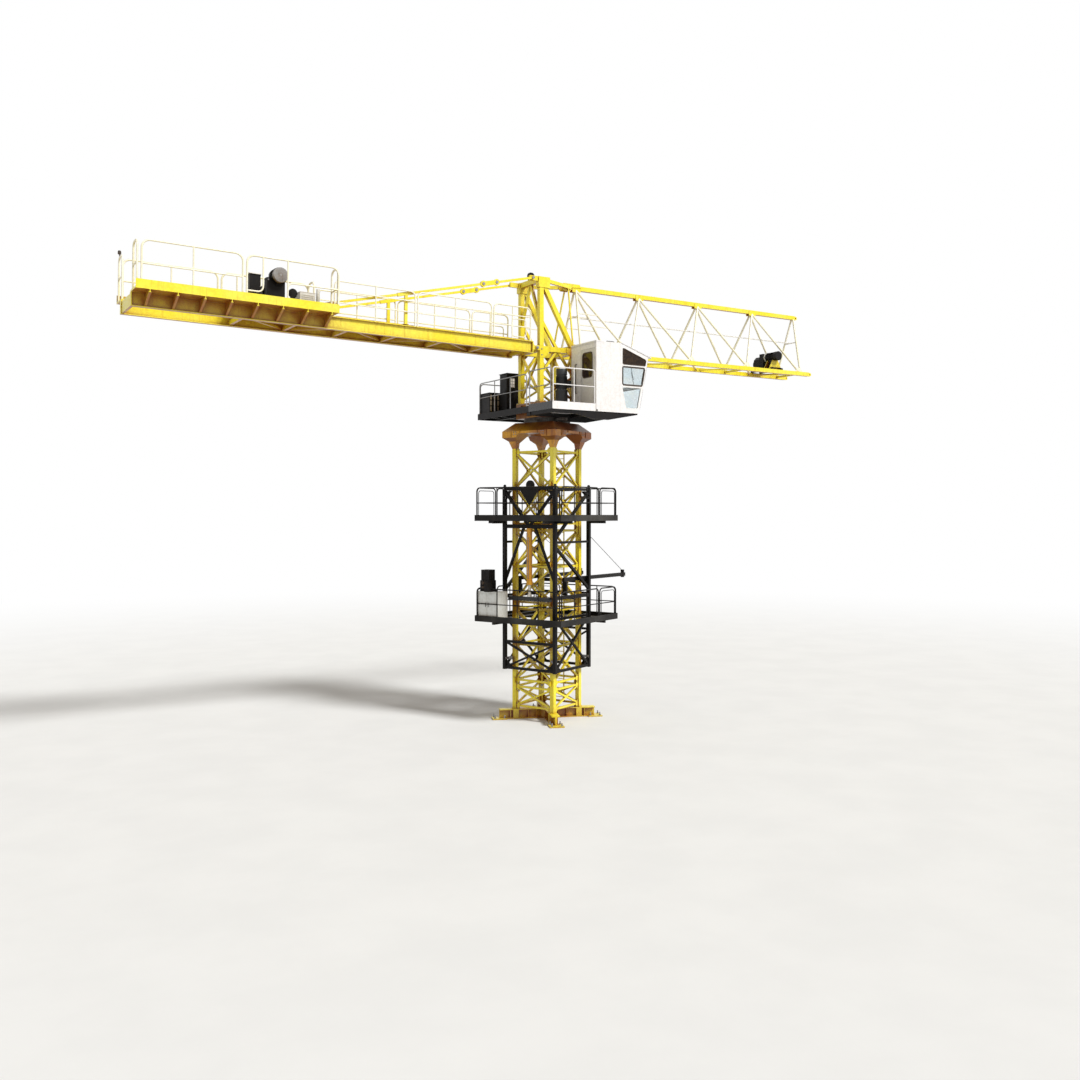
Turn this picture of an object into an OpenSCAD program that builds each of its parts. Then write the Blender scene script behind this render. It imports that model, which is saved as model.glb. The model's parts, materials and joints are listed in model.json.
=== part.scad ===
// Tower crane with a short jib, a climbing frame on its lattice mast and a cab beside the tower.
// Origin on the mast's axis at the underside of the base frame. +X along the jib, +Z up.
// The mast and the climbing frame stand turned about the mast's axis against the jib.

/* [Mast] */
// Turn of the mast about its axis against the jib, in degrees
mast_turn = 23; // [0:1:40]
// Distance between the centres of two mast legs
leg_pitch = 1460; // [1430:5:1480]
// Width of one square mast leg
leg_w = 140; // [125:5:150]
// Height of one mast section
section_h = 2500; // [2450:10:2550]
// Height of the base section's top above the foundation
base_top = 1150; // [1100:10:1200]
// Width of a mast brace
brace_w = 64; // [50:2:76]
// Height of the crossed beams under the mast
cross_beam_h = 320; // [280:10:360]
// Width of the crossed beams' flanges
cross_beam_w = 260; // [220:10:300]
// Distance from the mast's axis to the end of a crossed beam
cross_beam_reach = 1560; // [1500:10:1700]
// Side of a foot plate
foot_w = 460; // [420:10:500]
// Radius of an anchor hole in a foot plate
anchor_r = 21; // [15:0.5:24]
// Diameter of the circle that the anchor holes of one foot plate lie on
anchor_circle = 440; // [430:5:460]
// Height of the arched support between the mast and the slewing ring
support_h = 820; // [780:10:860]

/* [Climbing frame] */
// Distance between the centres of two posts of the climbing frame
frame_pitch = 1940; // [1930:5:1970]
// Width of one square post of the climbing frame
post_w = 110; // [90:5:120]
// Height of the climbing frame's posts
frame_h = 5850; // [5750:50:6000]
// Distance from the top of the posts up to the top of the mast
frame_drop = 1200; // [1150:10:1300]
// Outer side of the two platform rings
platform_w = 3320; // [3200:20:3400]
// Height of a climbing platform's railing above its deck
platform_rail_h = 1020; // [950:10:1060]
// Radius of the hydraulic cylinder's barrel
barrel_r = 85; // [75:1:90]
// Radius of the piston rod
rod_r = 45; // [38:1:50]
// Running clearance between the piston rod and its gland
rod_clearance = 0.4; // [0.3:0.1:0.6]
// Radius of a guide roller
roller_r = 46; // [42:1:47]

/* [Slewing part] */
// Outer radius of the slewing ring
ring_r = 715; // [690:5:740]
// Radius of the parting line between the ring's two halves
ring_gap_r = 620; // [610:2:640]
// Radial clearance between the ring's two halves
ring_clearance = 0.9; // [0.6:0.1:0.9]
// Height of the slewing ring
ring_h = 150; // [140:5:160]
// Height of the box frame on the slewing ring
seat_h = 480; // [460:10:500]
// Half the distance between the tower legs along the jib
tower_x = 610; // [590:5:630]
// Half the distance between the tower legs across the jib
tower_y = 580; // [565:5:600]
// Width of a tower leg
tower_leg_w = 150; // [130:5:160]
// Height from the tower's feet to the pins of the jib and the counter-jib
pin_rise = 1650; // [1600:10:1700]
// Height from those pins to the top of the tower head
head_h = 2230; // [2180:10:2300]

/* [Jib] */
// Distance between the centres of the jib's lower chords
jib_w = 1200; // [1180:10:1220]
// Height of the jib between the centres of its chords
jib_h = 2160; // [2120:10:2200]
// Width of a square jib chord
chord_w = 140; // [120:5:150]
// Length of one jib bay
bay = 2600; // [2500:20:2650]
// Radius of a jib web bar
web_r = 32; // [26:1:36]
// Radius of the pin holes in the eyes at the jib's end
eye_hole_r = 27; // [20:1:32]

/* [Counter-jib] */
// Upward tilt of the counter-jib, in degrees
counter_tilt = 1.1; // [0.8:0.1:1.4]
// Length of the counter-jib from its pin to its end
counter_l = 12000; // [11900:50:12300]
// Distance between the centres of the two beams
counter_pitch = 1300; // [1280:10:1320]
// Depth of a beam
beam_h = 360; // [320:10:380]
// Width of a beam's flanges
beam_w = 150; // [120:5:160]
// Width of the wide platform over its edges
wide_deck_w = 2500; // [2400:20:2600]
// Height of the wide platform's railings above its deck
rail_h = 1180; // [1050:10:1250]
// Height of the walkway's railings above the beams
walk_rail_h = 1000; // [900:10:1100]
// Outer radius of the railing tubes
tube_r = 21; // [17:1:24]

/* [Cab] */
// Length of the cab along the jib at eye level
cab_l = 2000; // [1950:10:2050]
// Width of the cab across the jib
cab_w = 1350; // [1300:10:1400]
// Height of the cab
cab_h = 2150; // [2130:10:2180]
// Thickness of the cab's walls
cab_wall = 45; // [35:1:50]
// Width of the cab's doorway
door_w = 760; // [720:5:780]
// Running clearance around the door leaf
door_gap = 6; // [5:0.5:8]
// Radius of the door's hinge pins
hinge_r = 8; // [6:0.5:9]

/* [Hoist] */
// Radius of the hoist drum
drum_r = 190; // [170:5:200]
// Radius of the hoist drum's flanges
drum_flange_r = 300; // [280:5:320]
// Radius of the drum's shaft
shaft_r = 45; // [38:1:50]
// Running clearance of the drum's shaft in its bearings
shaft_clearance = 0.08; // [0.05:0.01:0.1]

/* [Hidden] */

// Mast heights and faces
leg_at = leg_pitch/2;
leg_face = leg_at + leg_w/2;
mast_top = base_top + 3*section_h;
panel_inset = 110;
lug_h = 160;
lug_out = 70;
lug_side = 40;
lug_w = 50;
lug_z = 20;
lug_step = section_h/2;
sleeve_r = 34;
sleeve_h = 230;

// Climbing frame heights and faces
post_at = frame_pitch/2;
post_face = post_at - post_w/2;
frame_top = mast_top - frame_drop;
frame_bottom = frame_top - frame_h;
upper_deck_z = frame_top - 1050;
lower_deck_z = frame_bottom + 1600;
deck_t = 50;
toe_h = 190;
ring_in = frame_pitch/2 + post_w/2;
heavy_z = frame_top - 1270;
crossbeam_bottom = base_top + section_h + lug_z + lug_h;
crossbeam_h = 130;
crossbeam_top = crossbeam_bottom + crossbeam_h;
crossbeam_half_t = 70;
crossbeam_half_l = leg_at + 60;
cylinder_x = -post_at;
barrel_top = heavy_z - 60;
barrel_l = 1780;
barrel_bottom = barrel_top - barrel_l;
rod_top = barrel_top - 370;
side_rail_z = frame_top - 3500;
intro_z = frame_top - 2950;

// Slewing part heights
ring_z = mast_top + support_h;
seat_z = ring_z + ring_h;
feet_z = seat_z + seat_h;
deck_z = seat_z + 280;
pin_z = feet_z + pin_rise;
head_top = pin_z + head_h;
seat_w = 2*tower_x + 230;
hatch_r = ring_gap_r - 60;

// Pins between tower, jib and counter-jib
pin_r = 32;
lug_half = 28;
fork_t = 20;
tower_face = tower_x + tower_leg_w/2;
jib_pin_x = tower_face + 70;
counter_pin_x = tower_face + 120;

// Jib stations
chord_x0 = jib_pin_x + 70;
jib_top_z = pin_z + jib_h;
apex_x = [for (i = [0:3]) 1080 + i*bay*0.99];
node_x = [for (i = [0:3]) 330 + i*bay*0.99];
jib_end = node_x[3] + 3050;
end_node = node_x[3] + bay;
top_end = end_node + 300;
web_side = 50;
eye_reach = 90;

// Counter-jib stations, counted along the beams from the pin
counter_x0 = 150;
wide_from = 6700;
wide_to = counter_l - 10;
weight_bay = 2650;
weight_bay_x = counter_l - weight_bay;
deck_edge = wide_deck_w/2;
beam_at = counter_pitch/2;
walk_y = beam_at + beam_w/2 - 25;
floor_t = 40;
toe_top = 230;
pendant_u = wide_from + 1000;

// Cab and balcony
cab_x0 = 350;
cab_y0 = -seat_w/2 - 175;
cab_y1 = cab_y0 - cab_w;
cab_z = deck_z - 190;
cab_roof_flat = 950;
cab_lean = 370;
cab_slope = 350;
balcony_x0 = -1250;
door_y0 = cab_y1 + 95;
door_z0 = cab_z + 70;
door_h = 1880;
hinge_x = cab_x0 - hinge_r - 6;
hinge_y = door_y0 - 2;

// A straight box bar between two points: w across, t in its upright plane
module bar(a, b, w, t) {
  d = b - a;
  translate(a)
    rotate([0, -atan2(d.z, norm([d.x, d.y])), atan2(d.y, d.x)])
      translate([0, -w/2, -t/2]) cube([norm(d), w, t]);
}

// A straight round bar of few sides between two points
module rod(a, b, r, sides = 8) {
  d = b - a;
  translate(a)
    rotate([0, acos(d.z/norm(d)), atan2(d.y, d.x)])
      cylinder(h = norm(d), r = r, $fn = sides);
}

// A tube that follows a list of points; each stretch runs a little past its bends to close them
module tube_path(points, r, sides = 8) {
  last = len(points) - 2;
  for (i = [0:last]) {
    d = (points[i + 1] - points[i])/norm(points[i + 1] - points[i]);
    rod(points[i] - (i > 0 ? d*r*0.4 : d*0), points[i + 1] + (i < last ? d*r*0.4 : d*0), r, sides);
  }
}

// A box from one corner to the opposite corner
module block(a, b) {
  translate([min(a.x, b.x), min(a.y, b.y), min(a.z, b.z)])
    cube([abs(a.x - b.x), abs(a.y - b.y), abs(a.z - b.z)]);
}

module on_mast() { rotate([0, 0, mast_turn]) children(); }

module at_corners(d) {
  for (x = [-1, 1], y = [-1, 1]) translate([x*d, y*d, 0]) children();
}

// Base frame: two crossed beams, each with a foot plate at both ends
module i_section(h, w, web, flange) {
  translate([-w/2, 0]) square([w, flange]);
  translate([-w/2, h - flange]) square([w, flange]);
  translate([-web/2, 0]) square([web, h]);
}

module base_frame() color("goldenrod") on_mast() {
  difference() {
    union() {
      for (a = [45, 135]) rotate([0, 0, a]) {
        rotate([90, 0, 90])
          translate([0, 0, -cross_beam_reach])
            linear_extrude(2*cross_beam_reach) i_section(cross_beam_h, cross_beam_w, 60, 35);
        for (s = [-1, 1]) {
          translate([s*cross_beam_reach - foot_w/2, -foot_w/2, 0]) cube([foot_w, foot_w, 35]);
          translate([s*leg_at*sqrt(2) - 90, -cross_beam_w/2, 0])
            cube([180, cross_beam_w, cross_beam_h]);
        }
      }
      translate([-200, -200, 0]) cube([400, 400, cross_beam_h]);
    }
    for (a = [45:90:315]) rotate([0, 0, a]) translate([cross_beam_reach, 0, -1])
      for (b = [45:90:315]) rotate([0, 0, b]) translate([anchor_circle/2, 0, 0])
        cylinder(h = 40, r = anchor_r, $fn = 32);
  }
}

// Mast legs: square tubes with a bolt sleeve inside each end and climbing lugs on the front pair
module mast_leg(z0, z1) {
  translate([leg_at - leg_w/2, leg_at - leg_w/2, z0]) cube([leg_w, leg_w, z1 - z0]);
  for (z = [z0, z1 - sleeve_h])
    translate([leg_at - leg_w/2 - 8, leg_at - leg_w/2 - 8, z])
      cylinder(h = sleeve_h, r = sleeve_r, $fn = 10);
}

module leg_lugs(z0) {
  for (s = [-1, 1], z = [z0 + lug_z, z0 + lug_z + lug_step])
    block([-leg_face - lug_out, s*(leg_at - lug_side) - lug_w/2, z],
          [-leg_face, s*(leg_at - lug_side) + lug_w/2, z + lug_h]);
}

module mast_section(i) color("gold") on_mast() {
  z0 = base_top + i*section_h;
  for (a = [0:90:270]) rotate([0, 0, a]) mast_leg(z0, z0 + section_h);
  leg_lugs(z0);
}

module base_section() color("gold") on_mast() {
  for (a = [0:90:270]) rotate([0, 0, a]) {
    mast_leg(cross_beam_h, base_top);
    translate([leg_at - leg_w/2 - 20, leg_at - leg_w/2 - 20, cross_beam_h])
      cube([leg_w + 40, leg_w + 40, 25]);
  }
}

// One flat side of the mast: horizontals and crossed braces between two legs, cut flush at the legs
module lattice_panel(z0, z1, bays) {
  inner = leg_at - leg_w/2;
  low = z0 + panel_inset;
  high = z1 - panel_inset;
  step = (high - low)/bays;
  intersection() {
    union() {
      for (i = [0:bays]) bar([-leg_at, -leg_at, low + i*step], [leg_at, -leg_at, low + i*step],
                             brace_w, brace_w);
      for (i = [0:bays - 1]) {
        bar([-leg_at, -leg_at, low + i*step], [leg_at, -leg_at, low + (i + 1)*step],
            brace_w*0.9, brace_w*0.9);
        bar([leg_at, -leg_at, low + i*step], [-leg_at, -leg_at, low + (i + 1)*step],
            brace_w*0.9, brace_w*0.9);
      }
    }
    block([-inner, -leg_face, z0], [inner, 0, z1]);
  }
}

module mast_lattice(turn) color("gold") on_mast() rotate([0, 0, turn]) {
  lattice_panel(cross_beam_h, base_top, 1);
  for (i = [0:2]) lattice_panel(base_top + i*section_h, base_top + (i + 1)*section_h, 2);
}

// Ladder inside the mast, on the horizontals of its back side
ladder_x = leg_at - brace_w/2;
module mast_ladder() color("gold") on_mast() {
  top = mast_top - panel_inset;
  for (s = [-1, 1])
    block([ladder_x - 40, s*200 - 12, cross_beam_h + 90], [ladder_x, s*200 + 12, top]);
  for (z = [cross_beam_h + 250:300:top - 60]) rod([ladder_x - 20, -200, z], [ladder_x - 20, 200, z], 11, 6);
}

// Lower support: four arched legs that flare outwards to ears, under a drum for the slewing ring
module support_outline() {
  h = support_h;
  polygon([[ring_r + 15, h], [1030, h*0.66], [1030, h*0.42], [leg_face + 80, h*0.28],
           [leg_face, 0], [-leg_face, 0], [-leg_face - 80, h*0.28], [-1030, h*0.42],
           [-1030, h*0.66], [-ring_r - 15, h]]);
}
module support_arch() {
  inner = leg_at - leg_w/2 - 10;
  polygon([[-inner, -1], [inner, -1], [inner - 20, support_h*0.22], [inner*0.62, support_h*0.56],
           [-inner*0.62, support_h*0.56], [-inner + 20, support_h*0.22]]);
}
module lower_support() color("gold") on_mast() translate([0, 0, mast_top]) difference() {
  intersection() {
    rotate([90, 0, 0]) translate([0, 0, -1100]) linear_extrude(2200) support_outline();
    rotate([90, 0, 90]) translate([0, 0, -1100]) linear_extrude(2200) support_outline();
  }
  rotate([90, 0, 0]) translate([0, 0, -1200]) linear_extrude(2400) support_arch();
  rotate([90, 0, 90]) translate([0, 0, -1200]) linear_extrude(2400) support_arch();
  translate([0, 0, 100]) cylinder(h = support_h, r = hatch_r, $fn = 24);
}

ring_seat = 0.2;
module slewing_ring() color("dimgray") translate([0, 0, ring_z + ring_seat]) difference() {
  cylinder(h = ring_h - 6 - ring_seat, r = ring_r, $fn = 96);
  translate([0, 0, -1]) cylinder(h = ring_h + 2, r = ring_gap_r, $fn = 96);
}

// Piston rod and the crossbeam that hooks onto the mast's lugs
module climbing_rod() color("silver") on_mast() {
  block([cylinder_x - crossbeam_half_t, -crossbeam_half_l, crossbeam_bottom],
        [cylinder_x + crossbeam_half_t, crossbeam_half_l, crossbeam_top]);
  for (s = [-1, 1])
    block([cylinder_x + crossbeam_half_t - 10, s*(leg_at - lug_side) - 45, crossbeam_bottom],
          [-leg_face, s*(leg_at - lug_side) + 45, crossbeam_top]);
  translate([cylinder_x, 0, crossbeam_top - 1]) cylinder(h = rod_top - crossbeam_top + 1, r = rod_r, $fn = 48);
  translate([cylinder_x, 0, crossbeam_top - 1]) cylinder(h = 90, r = rod_r + 25, $fn = 48);
}

// Climbing frame: four posts with pin lugs on top
module climbing_posts() color("#202022") on_mast() at_corners(post_at) {
  translate([-post_w/2, -post_w/2, frame_bottom]) cube([post_w, post_w, frame_h - 60]);
  for (turn = [[90, 0, 0], [0, 90, 0]])
    translate([0, 0, frame_top - 60]) rotate(turn)
      translate([0, 0, -25]) cylinder(h = 50, r = post_w*0.48, $fn = 32);
}

// Flat sides of the climbing frame lie between the posts, in the posts' plane
module between_posts() {
  intersection() {
    union() children();
    block([-post_face, -post_at - post_w/2, frame_bottom],
          [post_face, -post_at + post_w/2, frame_top]);
  }
}
module side_bar(x0, z0, x1, z1, t = 70) {
  bar([x0, -post_at, z0], [x1, -post_at, z1], t, t);
}

// Front side, with the heavy beam that the hydraulic cylinder hangs from
module climbing_front() color("#202022") on_mast() rotate([0, 0, -90]) between_posts() {
  p = post_at;
  side_bar(-p, frame_top - 90, p, frame_top - 90, 80);
  side_bar(-p, heavy_z, p, heavy_z, 120);
  side_bar(-p, frame_top - 150, 0, heavy_z, 80);
  side_bar(p, frame_top - 150, 0, heavy_z, 80);
  side_bar(-200, heavy_z, -p, frame_top - 3050, 70);
  side_bar(200, heavy_z, p, frame_top - 3050, 70);
  side_bar(-p, frame_bottom + 60, p, frame_bottom + 60, 80);
  side_bar(-p, frame_bottom + 900, p, frame_bottom + 900, 80);
  side_bar(-p, frame_bottom + 60, p, frame_bottom + 900, 60);
  side_bar(p, frame_bottom + 60, -p, frame_bottom + 900, 60);
  block([-75, -post_at - 75, heavy_z - 60], [75, -post_at + 55, heavy_z]);
}

module climbing_side(turn) color("#202022") on_mast() rotate([0, 0, turn]) between_posts() {
  p = post_at;
  side_bar(-p, frame_top - 90, p, frame_top - 90, 80);
  side_bar(p, frame_top - 150, -p, frame_top - 1650, 80);
  side_bar(-p, frame_top - 1770, p, frame_top - 1770, 70);
  side_bar(-p, frame_top - 1900, p, frame_top - 3300, 80);
  side_bar(-p, side_rail_z, p, side_rail_z, 110);
  side_bar(-p, frame_bottom + 60, p, frame_bottom + 60, 80);
  side_bar(-p, frame_bottom + 1700, p, frame_bottom + 1700, 80);
  side_bar(-p, frame_bottom + 60, p, frame_bottom + 1700, 60);
  side_bar(p, frame_bottom + 60, -p, frame_bottom + 1700, 60);
}

module climbing_back() color("#202022") on_mast() rotate([0, 0, 90]) between_posts() {
  p = post_at;
  side_bar(-p, frame_top - 90, p, frame_top - 90, 80);
  side_bar(-p, intro_z - 115, p, intro_z - 115, 110);
  side_bar(-p, frame_bottom + 60, p, frame_bottom + 60, 80);
  side_bar(-p, frame_bottom + 2400, p, frame_bottom + 2400, 80);
  side_bar(-p, frame_bottom + 100, p, frame_bottom + 1200, 56);
  side_bar(p, frame_bottom + 100, -p, frame_bottom + 1200, 56);
  side_bar(-p, frame_bottom + 1240, p, frame_bottom + 1240, 70);
}

// Platform ring: deck and toe board round the climbing frame, on arms that reach out from the posts,
// with a notch that lets the crossbeam of the hydraulic cylinder pass
notch_gap = 20;
module platform_ring(z) color("#202022") on_mast() {
  w = platform_w/2;
  difference() {
    union() {
      block([-w, -w, z - deck_t], [w, w, z]);
      for (s = [-1, 1], t = [-1, 1]) {
        block([s*post_at - 40, t*post_at - 40, z - deck_t - 80], [s*(w - 60), t*post_at + 40, z - deck_t]);
        block([s*post_at - 40, t*post_at - 40, z - deck_t - 80], [s*post_at + 40, t*(w - 60), z - deck_t]);
      }
      difference() {
        block([-w, -w, z], [w, w, z + toe_h - deck_t]);
        block([-w + 12, -w + 12, z - 1], [w - 12, w - 12, z + toe_h]);
      }
    }
    block([-ring_in, -ring_in, z - 300], [ring_in, ring_in, z + 300]);
    block([cylinder_x - crossbeam_half_t - notch_gap, -crossbeam_half_l - notch_gap, z - 300],
          [0, crossbeam_half_l + notch_gap, z + 300]);
  }
}

// Railings of a platform ring: on each side a long panel and a short one that opens as a gate
gate_w = 980;
panel_gap = 80;
module ring_railing(z) color("#202022") on_mast() {
  r = 20;
  y = -platform_w/2 + 12 + r;
  half = platform_w/2 - 80;
  h = platform_rail_h - r;
  for (a = [0:90:270]) rotate([0, 0, a]) {
    panel_rail([-half, y], [half - gate_w - panel_gap, y], z, h, r, [0.52], [1/3, 2/3]);
    panel_rail([half - gate_w, y], [half, y], z, h, r, [0.52], []);
  }
}

// Hydraulic cylinder: barrel with an end boss under the heavy beam and a gland round the rod
module climbing_cylinder() color("orange") on_mast() translate([cylinder_x, 0, barrel_bottom]) {
  difference() {
    union() {
      cylinder(h = barrel_l, r = barrel_r, $fn = 64);
      cylinder(h = 130, r = barrel_r + 14, $fn = 64);
      translate([0, 0, barrel_l - 120]) cylinder(h = 120, r = barrel_r + 10, $fn = 64);
    }
    translate([0, 0, -1]) cylinder(h = barrel_l - 149, r = rod_r + rod_clearance, $fn = 48);
  }
}

// Guide rollers between the climbing frame and the outer faces of the mast legs
module roller_unit(z) {
  mid = (leg_face + 5 + roller_r);
  translate([-mid, leg_at + 40, z]) rotate([90, 0, 0])
    translate([0, 0, -25]) cylinder(h = 50, r = roller_r, $fn = 40);
  block([-post_face - 1, leg_at + 70, z - 40], [-mid + 15, leg_at + 82, z + 40]);
  block([-mid - 10, leg_at + 60, z - 10], [-mid + 10, leg_at + 75, z + 10]);
  block([-post_face - 1, leg_at + 70, z - 40], [-post_face + 8, post_at + post_w/2 - 4, z + 40]);
}
module guide_rollers() color("#303034") on_mast() difference() {
  for (z = [frame_bottom + 350, frame_top - 350], a = [0:90:270]) rotate([0, 0, a]) {
    roller_unit(z);
    mirror([0, 1, 0]) roller_unit(z);
  }
  at_corners(post_at) translate([-post_w/2, -post_w/2, frame_bottom]) cube([post_w, post_w, frame_h]);
}

// Hydraulic power unit on the lower platform
unit_x = -platform_w/2 + 70;
unit_y = platform_w/2 - 70;
tank_h = 900;
valves_h = 350;
module hydraulic_unit() color("lightgray") on_mast() {
  tank_top = lower_deck_z + tank_h;
  valves_top = tank_top + valves_h;
  block([unit_x, unit_y - 800, lower_deck_z], [unit_x + 520, unit_y, tank_top]);
  block([unit_x + 60, unit_y - 420, tank_top], [unit_x + 400, unit_y - 60, valves_top]);
  translate([unit_x + 230, unit_y - 240, valves_top]) cylinder(h = 340, r = 140, $fn = 40);
}

// Beams that carry a new mast section into the frame, with their stay ropes
beam_out = 3450;
beam_in = 340;
stay_rise = 1400;
module introduction_beams() color("#202022") on_mast() difference() {
  y = (leg_face + post_face)/2;
  for (s = [-1, 1]) {
    block([-beam_in, s*(y - 40), intro_z - 60], [beam_out, s*(y + 40), intro_z + 60]);
    block([-beam_in, s*(y - 40), side_rail_z + 55], [-beam_in + 80, s*post_at, intro_z - 60]);
    block([-beam_in, s*(y - 40), intro_z - 61], [-beam_in + 80, s*(y + 40), intro_z]);
    block([beam_out - 160, s*(y - 55), intro_z - 100], [beam_out - 100, s*(y + 55), intro_z + 160]);
    rod([post_at, s*post_at, intro_z + stay_rise], [beam_out - 130, s*y, intro_z + 120], 9, 6);
  }
  at_corners(post_at) translate([-post_w/2, -post_w/2, frame_bottom]) cube([post_w, post_w, frame_h]);
}

// Inner half of the slewing ring, under the floor plate of the seat
module slewing_ring_inner() color("dimgray") translate([0, 0, ring_z + 6]) difference() {
  cylinder(h = ring_h - 6, r = ring_gap_r - ring_clearance, $fn = 96);
  translate([0, 0, -1]) cylinder(h = ring_h, r = hatch_r, $fn = 48);
}

// Floor plate of the seat, with an eight-sided hatch
seat_floor_t = 50;
module seat_floor() color("gold") difference() {
  block([-seat_w/2, -seat_w/2, seat_z], [seat_w/2, seat_w/2, seat_z + seat_floor_t]);
  translate([0, 0, seat_z - 1]) rotate([0, 0, 22.5]) cylinder(h = seat_floor_t + 2, r = hatch_r, $fn = 8);
}

// Upper seat: box frame on the floor plate that carries tower and deck, with pads under the tower's feet
seat_wall = 60;
module upper_seat() color("gold") {
  inner = seat_w/2 - seat_wall;
  difference() {
    block([-seat_w/2, -seat_w/2, seat_z + seat_floor_t], [seat_w/2, seat_w/2, feet_z]);
    block([-inner, -inner, seat_z], [inner, inner, feet_z + 1]);
    for (a = [0, 90]) rotate([0, 0, a])
      block([-seat_w/2 + 300, -seat_w, deck_z + 60], [seat_w/2 - 300, seat_w, feet_z - 60]);
  }
  for (x = [-1, 1], y = [-1, 1])
    block([x*(tower_x - 130), y*(tower_y - 130), feet_z - 60], [x*seat_w/2, y*seat_w/2, feet_z]);
}

// Service deck around the seat, with outriggers that taper towards the cab's front
deck_x1 = 1250;
deck_y1 = 2350;
outrigger_d = 240;
module outrigger(y) {
  tip = cab_x0 + cab_l - cab_lean - 40;
  translate([0, y + 40, cab_z]) rotate([90, 0, 0]) linear_extrude(80)
    polygon([[balcony_x0, 0], [balcony_x0, -110], [-400, -110], [cab_x0 - 100, -outrigger_d],
             [cab_x0 + 500, -outrigger_d], [tip, -40], [tip, 0]]);
}
module service_deck() color("#2a2a2c") {
  difference() {
    union() {
      block([balcony_x0, cab_y0, deck_z - 40], [deck_x1, deck_y1, deck_z]);
      difference() {
        block([balcony_x0, cab_y0, deck_z - 200], [deck_x1, deck_y1, deck_z]);
        block([balcony_x0 + 20, cab_y0 + 20, deck_z - 201], [deck_x1 - 20, deck_y1 - 20, deck_z - 40]);
      }
      for (x = [-tower_x, tower_x])
        block([x - 50, cab_y0 + 10, deck_z - 200], [x + 50, deck_y1 - 10, deck_z - 30]);
      for (y = [deck_y1 - 1100, deck_y1 - 550])
        block([balcony_x0 + 10, y - 40, deck_z - 160], [deck_x1 - 10, y + 40, deck_z - 30]);
    }
    block([-seat_w/2, -seat_w/2, deck_z - 300], [seat_w/2, seat_w/2, deck_z + 300]);
  }
  outrigger(cab_y0 - 60);
  outrigger(cab_y1 + 60);
  for (x = [balcony_x0 + 60, cab_x0 - 60, deck_x1 - 60])
    block([x - 40, cab_y1 + 20, cab_z - 110], [x + 40, cab_y0 + 140, cab_z]);
}

module panel_rail(a, b, z, h, r, mids, posts) {
  d = (b - a)/norm(b - a);
  c = 110;
  up = [0, 0, 1];
  p = [a.x, a.y, z];
  q = [b.x, b.y, z];
  e = [d.x, d.y, 0];
  tube_path([p, p + up*(h - c), p + up*h + e*c, q + up*h - e*c, q + up*(h - c), q], r);
  for (m = mids) rod(p + up*h*m, q + up*h*m, r*0.8);
  for (t = posts) rod(p + (q - p)*t, p + (q - p)*t + up*h, r*0.8);
}

// Deck railing on the far part and the ends of the service deck
module deck_railing() color("#2a2a2c") {
  h = 1000;
  e = 25;
  panel_rail([balcony_x0 + e, cab_y0 + 150], [balcony_x0 + e, deck_y1 - 100], deck_z, h, 18, [0.52], [1/3, 2/3]);
  panel_rail([balcony_x0 + 90, deck_y1 - e], [deck_x1 - 90, deck_y1 - e], deck_z, h, 18, [0.52], [0.5]);
  panel_rail([deck_x1 - e, deck_y1 - 100], [deck_x1 - e, cab_y0 + 150], deck_z, h, 18, [0.52], [1/3, 2/3]);
}

// Slewing drive beside the seat: reducer on a plate that lies on the deck, motor and fan cover on top
drive_y = -seat_w/2 - 205;
module slewing_drive() color("#3a3c40") translate([-50, drive_y, deck_z]) {
  translate([-210, -170, 0]) cube([420, 365, 40]);
  cylinder(h = 500, r = 190, $fn = 48);
  translate([0, 0, 500]) cylinder(h = 45, r = 200, $fn = 48);
  translate([0, 0, 545]) cylinder(h = 480, r = 160, $fn = 48);
  translate([0, 0, 1025]) cylinder(h = 180, r = 172, $fn = 48);
  block([140, -90, 640], [310, 90, 860]);
}

// Control cabinet and resistor box
module control_cabinets() color("#232325") {
  block([-850, 1080, deck_z], [-380, 1560, deck_z + 1240]);
  block([-1200, 1640, deck_z], [-330, 2260, deck_z + 640]);
}

// A fork of two plates for a pin at the origin, reaching back to its root
module fork(reach, half_h) {
  for (y = [-lug_half - 4 - fork_t, lug_half + 4]) difference() {
    union() {
      block([-reach - 1, y, -half_h], [0, y + fork_t, half_h]);
      translate([0, y + fork_t, 0]) rotate([90, 0, 0]) cylinder(h = fork_t, r = half_h*0.8, $fn = 40);
    }
    translate([0, y + 50, 0]) rotate([90, 0, 0]) cylinder(h = 100, r = pin_r + 0.4, $fn = 40);
  }
}

// The lug that goes between a fork's plates, with its pin
module pinned_lug(reach, half_h) {
  block([0, -lug_half, -half_h], [reach, lug_half, half_h]);
  rotate([90, 0, 0]) translate([0, 0, -lug_half]) cylinder(h = 2*lug_half, r = half_h*0.8, $fn = 40);
  rotate([90, 0, 0]) translate([0, 0, -lug_half - fork_t - 22])
    cylinder(h = 2*(lug_half + fork_t + 22), r = pin_r, $fn = 40);
}

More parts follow.
